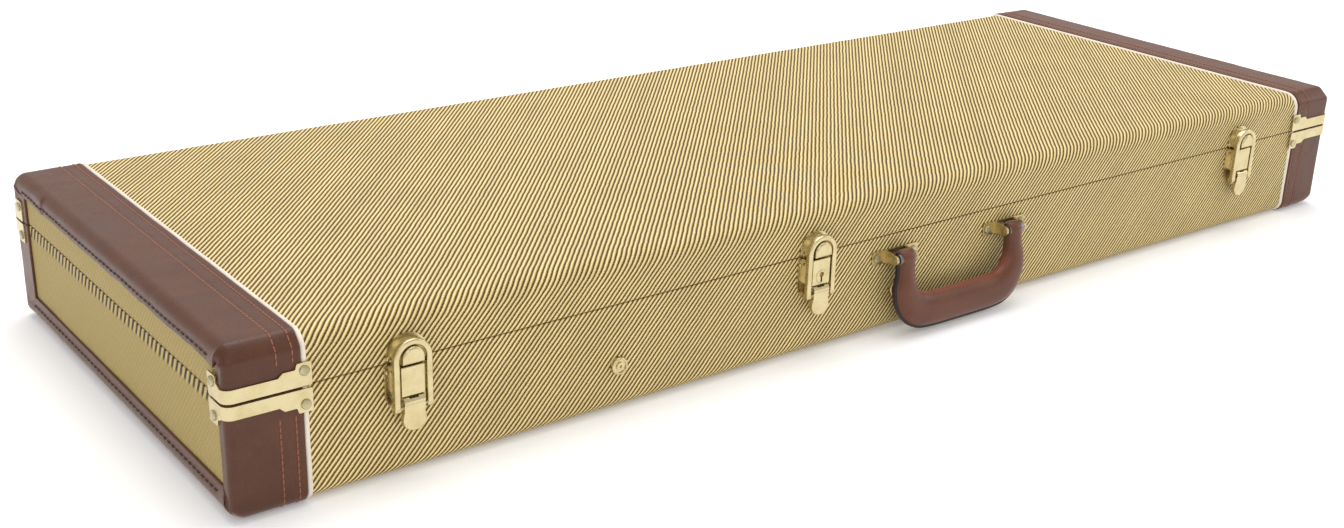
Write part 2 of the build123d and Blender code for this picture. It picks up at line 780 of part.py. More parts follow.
lip_low = 56.0
lip_high = 82.0
lip_ring = layer(lip_depth, lining_depth, lip_low, lip_high)
lip_back_cut = slab(-case_length, case_length, half_width - 30, case_width, 0, case_height)
with BuildPart() as base_lip:
    add(lip_ring)
    add(lip_back_cut, mode=Mode.SUBTRACT)
save(base_lip.part, "base_lip")

base_lining_top = 75.0
lining_outside = envelope(inside_depth, 0, base_lining_top)
lip_pocket = layer(inside_depth, lining_depth, lip_low - 0.2, case_height)
lining_inside = envelope(plush_depth, 0, case_height)
with BuildPart() as base_lining:
    add(lining_outside)
    add(lip_pocket, mode=Mode.SUBTRACT)
    add(lining_inside, mode=Mode.SUBTRACT)
save(drilled(base_lining.part, stud_shanks), "base_lining")

# ------------------------------------------------------------------ padding and compartment in the base
floor_z = plush_depth
pad_top = 58.0
wall_x = half_length - plush_depth
wall_y = half_width - plush_depth
pad_gap = 1.2
pad_radius = 5.0


def pad(x_low, x_high, y_low, y_high, z_low, z_high, radius=pad_radius):
    """Plain block of foam with softened upright and upper edges."""
    with BuildPart() as block:
        with BuildSketch(Plane.XY.offset(z_low)):
            with Locations(((x_low + x_high) / 2, (y_low + y_high) / 2)):
                RectangleRounded(x_high - x_low, y_high - y_low, radius + 1)
        extrude(amount=z_high - z_low)
        fillet(block.faces().sort_by(Axis.Z)[-1].edges(), radius)
    return block.part


def pad_pair(x_low, x_high, y_low, y_high, radius=pad_radius):
    """The same pad against the front wall and against the back wall."""
    made = [pad(x_low, x_high, y_low, y_high, floor_z, pad_top, radius),
            pad(x_low, x_high, -y_high, -y_low, floor_z, pad_top, radius)]
    with BuildPart() as pads:
        for piece in made:
            add(piece)
    return pads.part


body_start = 132.0
shoulder_depth = 46.0
side_pad_depth = 16.0
end_pad_depth = 26.0
neck_half_width = 44.0
save(pad(wall_x - end_pad_depth, wall_x - pad_gap, -150, 150, floor_z, pad_top), "lower_pad")
save(pad_pair(body_start, wall_x - end_pad_depth - 8, wall_y - side_pad_depth, wall_y - pad_gap),
     "side_pads")
save(pad_pair(body_start - shoulder_depth, body_start - 1, neck_half_width, wall_y - pad_gap),
     "shoulder_pads")
save(pad(-wall_x + pad_gap, -wall_x + 22, -110, 110, floor_z, pad_top), "head_pad")

rest_x = -160.0
rest_length = 40.0
rest_top = 54.0
rest_notch = 36.0
rest_notch_depth = 15.0
with BuildPart() as neck_rest:
    with BuildSketch(Plane.XY.offset(floor_z)):
        with Locations((rest_x, 0)):
            RectangleRounded(rest_length, 130, 6)
    extrude(amount=rest_top - floor_z)
    with BuildSketch(Plane.YZ.offset(rest_x)) as notch:
        with Locations((0, rest_top)):
            Rectangle(2 * rest_notch, 2 * rest_notch_depth)
        fillet(notch.vertices().group_by(Axis.Y)[0], 12)
    extrude(amount=rest_length, both=True, mode=Mode.SUBTRACT)
save(neck_rest.part, "neck_rest")

# the studs on the front hold the box's two end walls
box_wall = 8.0
box_left = stud_places[0] - box_wall / 2
box_right = stud_places[1] + box_wall / 2
box_front = -wall_y + pad_gap
box_back = -72.0
box_top = 56.0
flap_thickness = 4.0
flap_gap = 0.4
flap_inset = 4.5
flap_hinge_y = box_back - flap_thickness / 2
flap_hinge_z = box_top + flap_gap + flap_thickness / 2
ear_radius = 2.6
ear_thickness = 3.5
flap_pin_radius = 0.9
outer_box = slab(box_left, box_right, box_front, box_back, floor_z, box_top)
inner_box = slab(box_left + box_wall, box_right - box_wall, -wall_y - 1, box_back - box_wall, 0, 100)
ear_ends = ((box_left, box_left + ear_thickness), (box_right - ear_thickness, box_right))
with BuildPart() as accessory_box:
    add(outer_box)
    add(inner_box, mode=Mode.SUBTRACT)
    for low_x, high_x in ear_ends:
        with BuildSketch(Plane.YZ.offset(low_x)):
            with Locations((flap_hinge_y, flap_hinge_z)):
                Circle(ear_radius)
            with Locations((flap_hinge_y, (box_top - 1 + flap_hinge_z) / 2)):
                Rectangle(2 * ear_radius, flap_hinge_z - box_top + 1)
        extrude(amount=high_x - low_x)
    with BuildSketch(Plane.YZ.offset(box_left - 1)):
        with Locations((flap_hinge_y, flap_hinge_z)):
            Circle(flap_pin_radius)
    extrude(amount=box_right - box_left + 2, mode=Mode.SUBTRACT)
save(drilled(accessory_box.part, stud_shanks), "accessory_box")

pin_length = 9.0
with BuildPart() as accessory_hinge_pins:
    for start_x in (box_left + 0.5, box_right - 0.5 - pin_length):
        with BuildSketch(Plane.YZ.offset(start_x)):
            with Locations((flap_hinge_y, flap_hinge_z)):
                Circle(flap_pin_radius)
        extrude(amount=pin_length)
save(accessory_hinge_pins.part, "accessory_hinge_pins")

flap_front = -wall_y + 3
with BuildPart() as accessory_lid:
    with BuildSketch(Plane.YZ.offset(box_left + flap_inset)):
        with Locations((flap_hinge_y, flap_hinge_z)):
            Circle(flap_thickness / 2)
        with Locations(((flap_front + flap_hinge_y) / 2, flap_hinge_z)):
            Rectangle(flap_hinge_y - flap_front, flap_thickness)
    extrude(amount=box_right - box_left - 2 * flap_inset)
    fillet(accessory_lid.edges().filter_by(Axis.X).group_by(Axis.Y)[0], 1.5)
    with BuildSketch(Plane.YZ.offset(box_left)):
        with Locations((flap_hinge_y, flap_hinge_z)):
            Circle(flap_pin_radius + running_gap)
    extrude(amount=box_right - box_left, mode=Mode.SUBTRACT)
save(accessory_lid.part, "accessory_lid")

tab_x = (box_left + box_right) / 2
tab_low = flap_hinge_z + flap_thickness / 2
save(slab(tab_x - 9, tab_x + 9, -wall_y + 6, -wall_y + 34, tab_low, tab_low + 1.2), "accessory_tab")

# ------------------------------------------------------------------ lid
lid_shanks = (lid_bracket_shanks, keeper_shanks, lid_hinge_shanks)
lid_lining_low = 85.0
save(drilled(layer(shell_depth, inside_depth, lid_rim, case_height), *lid_shanks), "lid_shell")
save(drilled(tweed_wrap(lid_rim, case_height), *lid_shanks), "lid_tweed")
save(drilled(end_panels(lid_rim, case_height), lid_bracket_shanks), "lid_end_panels")
save(drilled(leather_cap(-1, lid_rim, case_height), lid_bracket_shanks), "lid_leather_left")
save(drilled(leather_cap(1, lid_rim, case_height), lid_bracket_shanks), "lid_leather_right")
save(drilled(piping_pair(lid_rim, case_height), lid_bracket_shanks), "lid_piping")
save(layer(inside_depth, lining_depth, lid_lining_low, case_height), "lid_lining")

lid_pad_inset = 26.0
lid_pad_thickness = 10.0
lid_pad_top = case_height - lining_depth
with BuildPart() as lid_pad:
    with BuildSketch(Plane.XY.offset(lid_pad_top - lid_pad_thickness)):
        RectangleRounded(case_length - 2 * lid_pad_inset, case_width - 2 * lid_pad_inset, 12)
    extrude(amount=lid_pad_thickness)
    fillet(lid_pad.faces().sort_by(Axis.Z)[0].edges(), 5)
save(lid_pad.part, "lid_pad")
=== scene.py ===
import json
import math

import bmesh
import bpy
import numpy as np
from mathutils import Matrix, Vector, noise


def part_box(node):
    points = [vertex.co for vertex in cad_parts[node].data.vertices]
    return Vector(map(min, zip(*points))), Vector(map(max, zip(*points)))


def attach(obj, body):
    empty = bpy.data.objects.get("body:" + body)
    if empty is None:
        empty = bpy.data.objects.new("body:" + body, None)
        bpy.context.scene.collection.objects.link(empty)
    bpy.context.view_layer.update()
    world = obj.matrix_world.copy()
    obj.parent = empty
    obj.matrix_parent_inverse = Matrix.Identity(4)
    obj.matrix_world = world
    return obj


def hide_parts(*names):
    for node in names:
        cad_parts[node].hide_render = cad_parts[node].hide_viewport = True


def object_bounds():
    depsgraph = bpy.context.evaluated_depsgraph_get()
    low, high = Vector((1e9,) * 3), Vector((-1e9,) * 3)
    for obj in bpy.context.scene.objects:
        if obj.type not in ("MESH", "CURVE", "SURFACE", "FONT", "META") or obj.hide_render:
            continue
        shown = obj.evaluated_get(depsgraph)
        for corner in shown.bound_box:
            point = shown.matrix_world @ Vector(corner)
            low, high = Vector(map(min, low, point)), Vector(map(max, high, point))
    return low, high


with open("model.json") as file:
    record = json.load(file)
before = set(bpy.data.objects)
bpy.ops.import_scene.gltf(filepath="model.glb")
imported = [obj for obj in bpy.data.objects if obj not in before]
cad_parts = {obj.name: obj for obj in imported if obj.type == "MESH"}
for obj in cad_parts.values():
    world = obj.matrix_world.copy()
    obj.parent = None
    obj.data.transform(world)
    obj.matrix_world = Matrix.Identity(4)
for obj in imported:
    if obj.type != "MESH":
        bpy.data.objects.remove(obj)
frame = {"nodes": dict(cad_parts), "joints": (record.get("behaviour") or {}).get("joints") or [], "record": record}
cad_low, cad_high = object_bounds()
NODES = frame["nodes"]

# ------------------------------------------------------------------ sizes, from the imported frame
MM = 0.001


def limits(node):
    """Lowest and highest corner of a CAD node, in millimetres."""
    low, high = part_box(node)
    return np.array(low) / MM, np.array(high) / MM


leather_low, leather_high = limits("base_leather_left")
lid_leather_low, lid_leather_high = limits("lid_leather_left")
tweed_high = limits("base_tweed")[1]
lining_high = limits("base_lining")[1]
panel_low, panel_high = limits("base_end_panels")
lid_panel_high = limits("lid_end_panels")[1]

HALF_LENGTH = -leather_low[0]
HALF_WIDTH = leather_high[1]
HEIGHT = lid_leather_high[2]
BASE_RIM = leather_high[2]
LID_RIM = lid_leather_low[2]
CAP_EDGE = -leather_high[0]
PIPING_EDGE = tweed_high[0]
TWEED_DEPTH = HALF_WIDTH - tweed_high[1]
PANEL_X = panel_high[0]
WINDOW_FRONT, WINDOW_BACK = panel_low[1], panel_high[1]
WINDOW_LOW, WINDOW_HIGH = panel_low[2], lid_panel_high[2]
PLAN_RADIUS = 5.0
TOP_RADIUS = 13.0
BOTTOM_RADIUS = 10.0
END_TOP_RADIUS = 8.0
END_BOTTOM_RADIUS = 11.0
JOINT_AT = {j["name"]: np.array(j["pos_m"]) / MM for j in frame["joints"]}


# ------------------------------------------------------------------ mesh helpers
def smoothstep(value, low, high):
    t = np.clip((np.asarray(value, float) - low) / (high - low), 0, 1)
    return t * t * (3 - 2 * t)


def spaced(start, end, step):
    return np.linspace(start, end, max(2, int(round(abs(end - start) / step)) + 1))


def wavy(points, scale, seed):
    """Smooth noise, about -1 to 1, at each point. Scale is the size of a wave in millimetres."""
    shift = Vector((seed * 17.3, seed * 5.1, seed * 9.7))
    return np.array([noise.noise(Vector(p) / scale + shift) for p in points])


def add_piece(name, points, faces, body, material, node=(), attributes=None, sharp=50):
    """A mesh in millimetres becomes a piece that rides on a body and stands for CAD nodes."""
    mesh = bpy.data.meshes.new(name)
    mesh.from_pydata((np.asarray(points, float) * MM).tolist(), [], faces)
    for key, values in (attributes or {}).items():
        values = np.asarray(values, np.float32)
        kind, field = ("FLOAT_VECTOR", "vector") if values.ndim == 2 else ("FLOAT", "value")
        mesh.attributes.new(key, kind, "POINT").data.foreach_set(field, values.ravel())
    work = bmesh.new()
    work.from_mesh(mesh)
    bmesh.ops.recalc_face_normals(work, faces=work.faces)
    work.to_mesh(mesh)
    work.free()
    mesh.shade_smooth()
    mesh.set_sharp_from_angle(angle=math.radians(sharp))
    piece = bpy.data.objects.new(name, mesh)
    bpy.context.scene.collection.objects.link(piece)
    piece.data.materials.append(material)
    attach(piece, body)
    if node:
        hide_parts(*node)
    return piece


def sheet_solid(outer, inner):
    """Points and quads of a closed sheet, from its outer and inner grids of points."""
    rows, columns = outer.shape[:2]
    count = rows * columns
    index = np.arange(count).reshape(rows, columns)
    faces = []
    for shift, flip in ((0, False), (count, True)):
        a, b = index[:-1, :-1] + shift, index[:-1, 1:] + shift
        c, d = index[1:, 1:] + shift, index[1:, :-1] + shift
        quads = np.stack([a, d, c, b] if flip else [a, b, c, d], -1).reshape(-1, 4)
        faces += quads.tolist()
    border = np.concatenate([index[0, :-1], index[:-1, -1], index[-1, :0:-1], index[:0:-1, 0]])
    following = np.roll(border, -1)
    faces += np.stack([border, border + count, following + count, following], -1).tolist()
    return np.concatenate([outer.reshape(-1, 3), inner.reshape(-1, 3)]), faces


def ring_solid(rings):
    """Points and faces of a closed solid through rings with the same number of points."""
    count = len(rings[0])
    points = np.concatenate(rings)
    faces = []
    for level in range(len(rings) - 1):
        for k in range(count):
            a, b = level * count + k, level * count + (k + 1) % count
            faces.append((a, b, b + count, a + count))
    last = (len(rings) - 1) * count
    faces.append(tuple(range(count))[::-1])
    faces.append(tuple(last + k for k in range(count)))
    return points, faces


def rounded_drop(distance, radius):
    """How far a rounded edge falls away at a distance from the edge."""
    inside = np.clip(radius - np.asarray(distance, float), 0, radius)
    return radius - np.sqrt(radius * radius - inside * inside)


# ------------------------------------------------------------------ material helpers
class Shader:
    """Builds one procedural material."""

    def __init__(self, name):
        self.material = bpy.data.materials.new(name)
        self.material.use_nodes = True
        self.tree = self.material.node_tree
        self.tree.nodes.clear()
        self.output = self.tree.nodes.new("ShaderNodeOutputMaterial")
        self.surface = self.tree.nodes.new("ShaderNodeBsdfPrincipled")
        self.tree.links.new(self.surface.outputs[0], self.output.inputs[0])

    def node(self, kind, inputs=(), **settings):
        made = self.tree.nodes.new("ShaderNode" + kind)
        for key, value in settings.items():
            setattr(made, key, value)
        for key, value in dict(inputs).items():
            self.put(made.inputs[key], value)
        return made

    def put(self, socket, value):
        if isinstance(value, bpy.types.NodeSocket):
            self.tree.links.new(value, socket)
        else:
            socket.default_value = value

    def math(self, operation, a, b=0.0, c=0.0):
        return self.node("Math", {0: a, 1: b, 2: c}, operation=operation).outputs[0]

    def scaled(self, vector, factor):
        made = self.node("VectorMath", {0: vector, 1: (factor,) * 3 if isinstance(factor, float) else factor},
                         operation="MULTIPLY")
        return made.outputs[0]

    def dot(self, vector, direction):
        return self.node("VectorMath", {0: vector, 1: direction}, operation="DOT_PRODUCT").outputs["Value"]

    def place(self):
        """Position in the row frame at rest, in millimetres."""
        return self.scaled(self.node("TexCoord").outputs["Object"], 1000.0)

    def noise(self, vector, scale, detail=2.0, rough=0.5):
        return self.node("TexNoise", {"Vector": vector, "Scale": scale, "Detail": detail,
                                      "Roughness": rough}).outputs["Fac"]

    def cells(self, vector, scale, feature="F1"):
        cells = self.node("TexVoronoi", {"Vector": vector, "Scale": scale}, feature=feature)
        return cells.outputs["Distance"]

    def ramp(self, value, stops):
        made = self.node("ValToRGB", {0: value})
        elements = made.color_ramp.elements
        elements[0].position, elements[0].color = stops[0][0], stops[0][1] + (1,)
        elements[1].position, elements[1].color = stops[-1][0], stops[-1][1] + (1,)
        for position, colour in stops[1:-1]:
            elements.new(position).color = colour + (1,)
        return made.outputs[0]

    def span(self, value, low, high, to_low=0.0, to_high=1.0):
        return self.node("MapRange", {0: value, 1: low, 2: high, 3: to_low, 4: to_high}).outputs[0]

    def mix(self, factor, a, b, kind="MIX"):
        made = self.node("Mix", {0: factor, 6: a, 7: b}, data_type="RGBA", blend_type=kind)
        return made.outputs[2]

    def attribute(self, name):
        return self.node("Attribute", attribute_name=name)

    def bump(self, height, distance, strength=1.0, normal=None):
        inputs = {"Height": height, "Distance": distance * MM, "Strength": strength}
        if normal is not None:
            inputs["Normal"] = normal
        return self.node("Bump", inputs).outputs[0]

    def finish(self, colour, roughness, normal=None, **sockets):
        self.put(self.surface.inputs["Base Color"], colour)
        self.put(self.surface.inputs["Roughness"], roughness)
        if normal is not None:
            self.put(self.surface.inputs["Normal"], normal)
        for key, value in sockets.items():
            self.put(self.surface.inputs[key.replace("_", " ")], value)
        return self.material


def rgb(red, green, blue):
    """An sRGB colour of 0 to 255 as linear values."""
    return tuple(c / 12.92 if c <= 0.04045 else ((c + 0.055) / 1.055) ** 2.4
                 for c in (red / 255, green / 255, blue / 255))


def flat(red, green, blue):
    return rgb(red, green, blue) + (1.0,)


STRIPE = (0.2515, -0.2245, 0.0)     # stripes per millimetre across and up the unrolled cloth
ALONG = (0.2245, 0.2515, 0.0)
TICK = (0.155, -0.075, 0.0)           # slanted bars under the seam of the end faces, per millimetre


def tweed_material(name, contrast_attribute=False):
    """Diagonal twill: rows of thick straw yarn with a mid yarn and a brown gap between them."""
    s = Shader(name)
    cloth = s.attribute("weave").outputs["Vector"]
    sway = s.span(s.noise(cloth, 0.09, 2.0), 0.0, 1.0, -0.16, 0.16)
    fray = s.span(s.noise(cloth, 1.1, 1.0), 0.0, 1.0, -0.10, 0.10)
    across = s.math("ADD", s.math("ADD", s.dot(cloth, STRIPE), sway), fray)
    part = s.math("FRACT", across)
    row = s.math("FLOOR", across)
    along = s.math("MULTIPLY_ADD", row, 0.37, s.math("MULTIPLY", s.dot(cloth, ALONG), 2.6))
    bead = s.math("MULTIPLY_ADD", s.math("SINE", s.math("MULTIPLY", along, 2 * math.pi)), 0.5, 0.5)
    gap_bead = s.math("MULTIPLY_ADD", s.math("SINE", s.math("MULTIPLY", along, math.pi)), 0.5, 0.5)
    colour = s.ramp(part, [(0.0, rgb(68, 48, 16)), (0.10, rgb(156, 128, 70)), (0.24, rgb(242, 220, 156)),
                           (0.46, rgb(243, 224, 166)), (0.60, rgb(194, 166, 102)), (0.74, rgb(132, 102, 48)),
                           (0.87, rgb(56, 38, 12)), (1.0, rgb(68, 48, 16))])
    height = s.ramp(part, [(0.0, (0.1,) * 3), (0.14, (0.55,) * 3), (0.34, (1.0,) * 3), (0.56, (0.7,) * 3),
                           (0.74, (0.4,) * 3), (0.88, (0.0,) * 3), (1.0, (0.1,) * 3)])
    gap = s.math("GREATER_THAN", part, 0.66)
    beads = s.mix(gap, s.span(bead, 0.0, 1.0, 0.80, 1.06), s.span(gap_bead, 0.0, 1.0, 0.80, 1.35))
    colour = s.mix(1.0, colour, beads, "MULTIPLY")
    own = s.node("TexWhiteNoise", {"W": row}, noise_dimensions="1D").outputs["Value"]
    fading = s.span(s.noise(cloth, 0.02, 3.0), 0.3, 0.7, -0.05, 0.05)
    patches = s.math("ADD", s.span(own, 0.0, 1.0, 0.93, 1.05), fading)
    colour = s.mix(1.0, colour, patches, "MULTIPLY")
    if contrast_attribute:
        fine = s.noise(s.scaled(cloth, (1.6, 1.6, 1.0)), 1.0, 2.0, 0.7)
        slub = s.math("SINE", s.math("MULTIPLY", s.dot(cloth, (0.52, 0.60, 0.0)), 2 * math.pi))
        tone = s.math("MULTIPLY_ADD", slub, 0.13, s.span(fine, 0.25, 0.75, 0.62, 1.24))
        plain = s.mix(1.0, flat(178, 155, 92), tone, "MULTIPLY")
        tick = s.math("SINE", s.math("MULTIPLY", s.dot(cloth, TICK), 2 * math.pi))
        bar, ground = (0.34, rgb(58, 40, 14)), (0.60, rgb(196, 172, 110))
        ticks = s.ramp(s.math("MULTIPLY_ADD", tick, 0.5, 0.5), [bar, ground])
        colour = s.mix(s.attribute("stripes").outputs["Fac"], plain, ticks)
    relief = s.math("MULTIPLY_ADD", bead, 0.28, height)
    normal = s.bump(relief, 0.34, 0.75)
    return s.finish(colour, s.span(height, 0.0, 1.0, 0.72, 0.50), normal, Specular_IOR_Level=0.32)


def leather_material(name, colour, dark, rough, grain=0.10, dyed=False):
    """Coated leather: fine pebbled grain, faint mottling and slightly worn, lighter high spots."""
    s = Shader(name)
    place = s.place()
    mottle = s.noise(place, 0.035, 3.0, 0.6)
    pebble = s.cells(place, 0.95)
    crinkle = s.cells(s.scaled(place, (1.0, 1.0, 1.4)), 0.33, "SMOOTH_F1")
    fine = s.noise(place, 2.2, 2.0)
    tone = s.mix(s.span(mottle, 0.35, 0.65), dark, colour)
    tone = s.mix(1.0, tone, s.span(pebble, 0.0, 0.8, 1.08, 0.86), "MULTIPLY")
    if dyed:
        # Painted highlight: a lighter red on the inner edge of the handle's bar, where the bar faces up to the
        # light.
        tone = s.mix(s.attribute("painted_highlight").outputs["Fac"], tone, flat(150, 84, 62))
        tone = s.mix(s.attribute("dyed").outputs["Fac"], tone, flat(38, 28, 27))
    height = s.math("ADD", s.math("MULTIPLY", pebble, -0.8),
                    s.math("ADD", s.math("MULTIPLY", crinkle, -0.5), s.math("MULTIPLY", fine, 0.3)))
    normal = s.bump(height, grain, 0.8)
    shine = s.math("ADD", s.span(mottle, 0.3, 0.7, rough - 0.05, rough + 0.06),
                   s.span(pebble, 0.0, 0.8, -0.03, 0.08))
    return s.finish(tone, shine, normal, Specular_IOR_Level=0.30, Coat_Weight=0.06, Coat_Roughness=0.35,
                    Sheen_Weight=0.45, Sheen_Roughness=0.30, Sheen_Tint=flat(222, 190, 174))


def metal_material(name, colour, worn, rough, brushed=0.05, edge=0.25):
    """Plated metal: long fine scratches, faint tarnish, softened edges."""
    s = Shader(name)
    place = s.place()
    lines = s.noise(s.scaled(place, (0.35, 3.0, 3.0)), 1.2, 3.0, 0.6)
    cloud = s.noise(place, 0.10, 3.0, 0.6)
    specks = s.noise(place, 1.7, 2.0, 0.7)
    tone = s.mix(s.span(cloud, 0.42, 0.75), colour, worn)
    tone = s.mix(1.0, tone, s.span(specks, 0.3, 0.75, 1.02, 0.96), "MULTIPLY")
    shine = s.math("ADD", s.span(lines, 0.3, 0.7, rough - 0.05, rough + 0.07),
                   s.span(cloud, 0.4, 0.8, 0.0, 0.10))
    rounded = s.node("Bevel", {"Radius": edge * MM}, samples=4).outputs[0]
    normal = s.bump(lines, brushed, 0.6, rounded)
    return s.finish(tone, shine, normal, Metallic=1.0)


def plush_material(name, colour, shade):
    """Short velvet pile, brushed in soft patches."""
    s = Shader(name)
    place = s.place()
    nap = s.noise(place, 0.045, 3.0, 0.6)
    pile = s.noise(s.scaled(place, (1.0, 1.0, 0.6)), 2.4, 3.0, 0.8)
    tone = s.mix(s.span(nap, 0.35, 0.65), shade, colour)
    tone = s.mix(1.0, tone, s.span(pile, 0.25, 0.75, 0.70, 1.25), "MULTIPLY")
    normal = s.bump(s.math("MULTIPLY_ADD", nap, 0.4, pile), 0.6, 0.7)
    return s.finish(tone, 0.92, normal, Sheen_Weight=0.6, Sheen_Roughness=0.35,
                    Sheen_Tint=colour, Specular_IOR_Level=0.15)


def wood_material(name, colour, dark):
    """Plywood: thin plies seen on the edge and open grain on the faces."""
    s = Shader(name)
    place = s.place()
    grain = s.noise(s.scaled(place, (0.03, 0.5, 0.5)), 1.0, 4.0, 0.65)
    pores = s.noise(s.scaled(place, (0.15, 2.0, 2.0)), 1.0, 2.0, 0.7)
    tone = s.ramp(grain, [(0.30, dark), (0.5, colour), (0.72, tuple(min(1.0, c * 1.25) for c in colour))])
    tone = s.mix(1.0, tone, s.span(pores, 0.3, 0.6, 0.82, 1.05), "MULTIPLY")
    return s.finish(tone, 0.62, s.bump(pores, 0.12, 0.5), Specular_IOR_Level=0.3)


def plain_material(name, colour, rough, scale, depth, spread=0.12, **sockets):
    """A moulded or spun finish with fine speckle and relief."""
    s = Shader(name)
    place = s.place()
    fine = s.noise(place, scale, 3.0, 0.6)
    broad = s.noise(place, scale * 0.08, 2.0)
    tone = s.mix(1.0, colour, s.span(fine, 0.3, 0.7, 1 - spread, 1 + spread), "MULTIPLY")
    tone = s.mix(1.0, tone, s.span(broad, 0.3, 0.7, 0.94, 1.05), "MULTIPLY")
    return s.finish(tone, s.span(fine, 0.3, 0.7, rough - 0.06, rough + 0.06),
                    s.bump(fine, depth, 0.6), **sockets)


TWEED = tweed_material("tweed")
TWEED_END = tweed_material("tweed_end", True)
LEATHER = leather_material("leather", flat(93, 53, 33), flat(82, 46, 28), 0.36)
HANDLE_LEATHER = leather_material("handle_leather", flat(106, 61, 41), flat(93, 53, 35), 0.34, 0.05, True)
BRASS = metal_material("brass", flat(209, 194, 152), flat(198, 181, 134), 0.25)
# A darker, rougher copy of the brass for the handle brackets; its darker colour is painted shade.
SHADED_BRASS = metal_material("brass_painted_shade", flat(198, 181, 134), flat(174, 156, 108), 0.32)
RIVET = metal_material("rivet", flat(186, 176, 142), flat(150, 138, 102), 0.36)
NICKEL = metal_material("nickel", flat(206, 200, 186), flat(168, 158, 138), 0.26)
STEEL = metal_material("strap_steel", flat(150, 150, 152), flat(120, 112, 104), 0.38)
PIPING = plain_material("piping", flat(230, 219, 202), 0.46, 1.3, 0.08, 0.03, Specular_IOR_Level=0.4)
THREAD = plain_material("thread", flat(146, 84, 54), 0.62, 2.6, 0.10, 0.25, Sheen_Weight=0.2)
DARK_THREAD = plain_material("dark_thread", flat(58, 34, 26), 0.62, 2.6, 0.10, 0.25, Sheen_Weight=0.2)
RUBBER = plain_material("rubber", flat(30, 29, 28), 0.66, 1.6, 0.10, 0.2)
RIBBON = plain_material("ribbon", flat(62, 40, 30), 0.6, 1.8, 0.12, 0.2, Sheen_Weight=0.3)
PLUSH = plush_material("plush", flat(126, 46, 44), flat(92, 28, 30))
PLY = wood_material("plywood", rgb(198, 164, 118), rgb(150, 112, 70))


# ------------------------------------------------------------------ the covers' cross-section
def wrap(depth, lid, step):
    """Cross-section of a cover from the front rim round to the back rim.
    Columns: y, z, outward normal in y and z, and the cloth's unrolled height, which is z on the front."""
    half = HALF_WIDTH - depth
    sign = 1 if lid else -1
    rim = LID_RIM if lid else BASE_RIM
    far = HEIGHT - depth if lid else depth
    radius = (TOP_RADIUS if lid else BOTTOM_RADIUS) - depth
    turn = far - sign * radius
    arc = radius * math.pi / 2
    across = 2 * (half - radius)
    near_rim = rim + sign * np.array([0, 0.12, 0.3, 0.55, 0.85])
    upright = np.concatenate([near_rim, spaced(rim + sign * 1.2, turn, step)])
    rows = [(-half, z, -1, 0, z) for z in upright]
    angles = spaced(0, math.pi / 2, step * 0.6 / radius)[1:]
    rows += [(-half + radius * (1 - math.cos(a)), turn + sign * radius * math.sin(a),
              -math.cos(a), sign * math.sin(a), turn + sign * radius * a) for a in angles]
    rows += [(y, far, 0, sign, turn + sign * (arc + y + half - radius))
             for y in spaced(radius - half, half - radius, step)[1:]]
    rows += [(half - radius * (1 - math.sin(a)), far - sign * radius * (1 - math.cos(a)),
              math.sin(a), sign * math.cos(a), turn + sign * (arc + across + radius * a)) for a in angles]
    rows += [(half, z, 1, 0, turn + sign * (2 * arc + across + abs(z - turn))) for z in upright[::-1][1:]]
    return np.array(rows)


def rim_distance(rows, lid):
    rim = LID_RIM if lid else BASE_RIM
    return np.abs(rows[:, 1] - rim)


# ------------------------------------------------------------------ tweed over the middle
CLOTH_THICKNESS = 0.95


def make_tweed(lid):
    rows = wrap(TWEED_DEPTH, lid, 4.0)
    xs = spaced(-PIPING_EDGE - 0.6, PIPING_EDGE + 0.6, 6.0)
    drop = rounded_drop(rim_distance(rows, lid), 0.9)
    grid = np.zeros((len(rows), len(xs), 3))
    grid[:, :, 0] = xs[None, :]
    grid[:, :, 1] = rows[:, 0:1]
    grid[:, :, 2] = rows[:, 1:2]
    normal = np.zeros((len(rows), 1, 3))
    normal[:, 0, 1:] = rows[:, 2:4]
    outer = grid - normal * drop[:, None, None]
    inner = grid - normal * CLOTH_THICKNESS
    points, faces = sheet_solid(outer, inner)
    weave = np.zeros((len(rows), len(xs), 3))
    weave[:, :, 0] = xs[None, :]
    roll = drop * (1 if lid else -1)
    weave[:, :, 1] = (rows[:, 4] - roll)[:, None]
    weave = np.concatenate([weave.reshape(-1, 3)] * 2)
    name = "lid_tweed" if lid else "base_tweed"
    add_piece(f"{name}_cloth", points, faces, "lid" if lid else "base", TWEED, [name],
              {"weave": weave})


# ------------------------------------------------------------------ leather ends
def corner_radius(rows, lid):
    """Radius of the turn on to the end face: small at the uprights, larger along the top and bottom."""
    largest = END_TOP_RADIUS if lid else END_BOTTOM_RADIUS
    return PLAN_RADIUS + (largest - PLAN_RADIUS) * smoothstep(np.abs(rows[:, 3]), 0, 1)


def window_edge(rows, lid):
    y = np.clip(rows[:, 0], WINDOW_FRONT, WINDOW_BACK)
    if lid:
        z = np.minimum(rows[:, 1], WINDOW_HIGH)
        ripple = np.array([noise.noise(Vector((p / 21.0, 3.3, 0)))
                           + 0.6 * noise.noise(Vector((p / 8.0, 7.1, 0)))
                           for p in y])
        z = z + 0.9 * ripple * smoothstep(rows[:, 1], WINDOW_HIGH - 2, WINDOW_HIGH + 2)
    else:
        z = np.maximum(rows[:, 1], WINDOW_LOW)
    return y, z


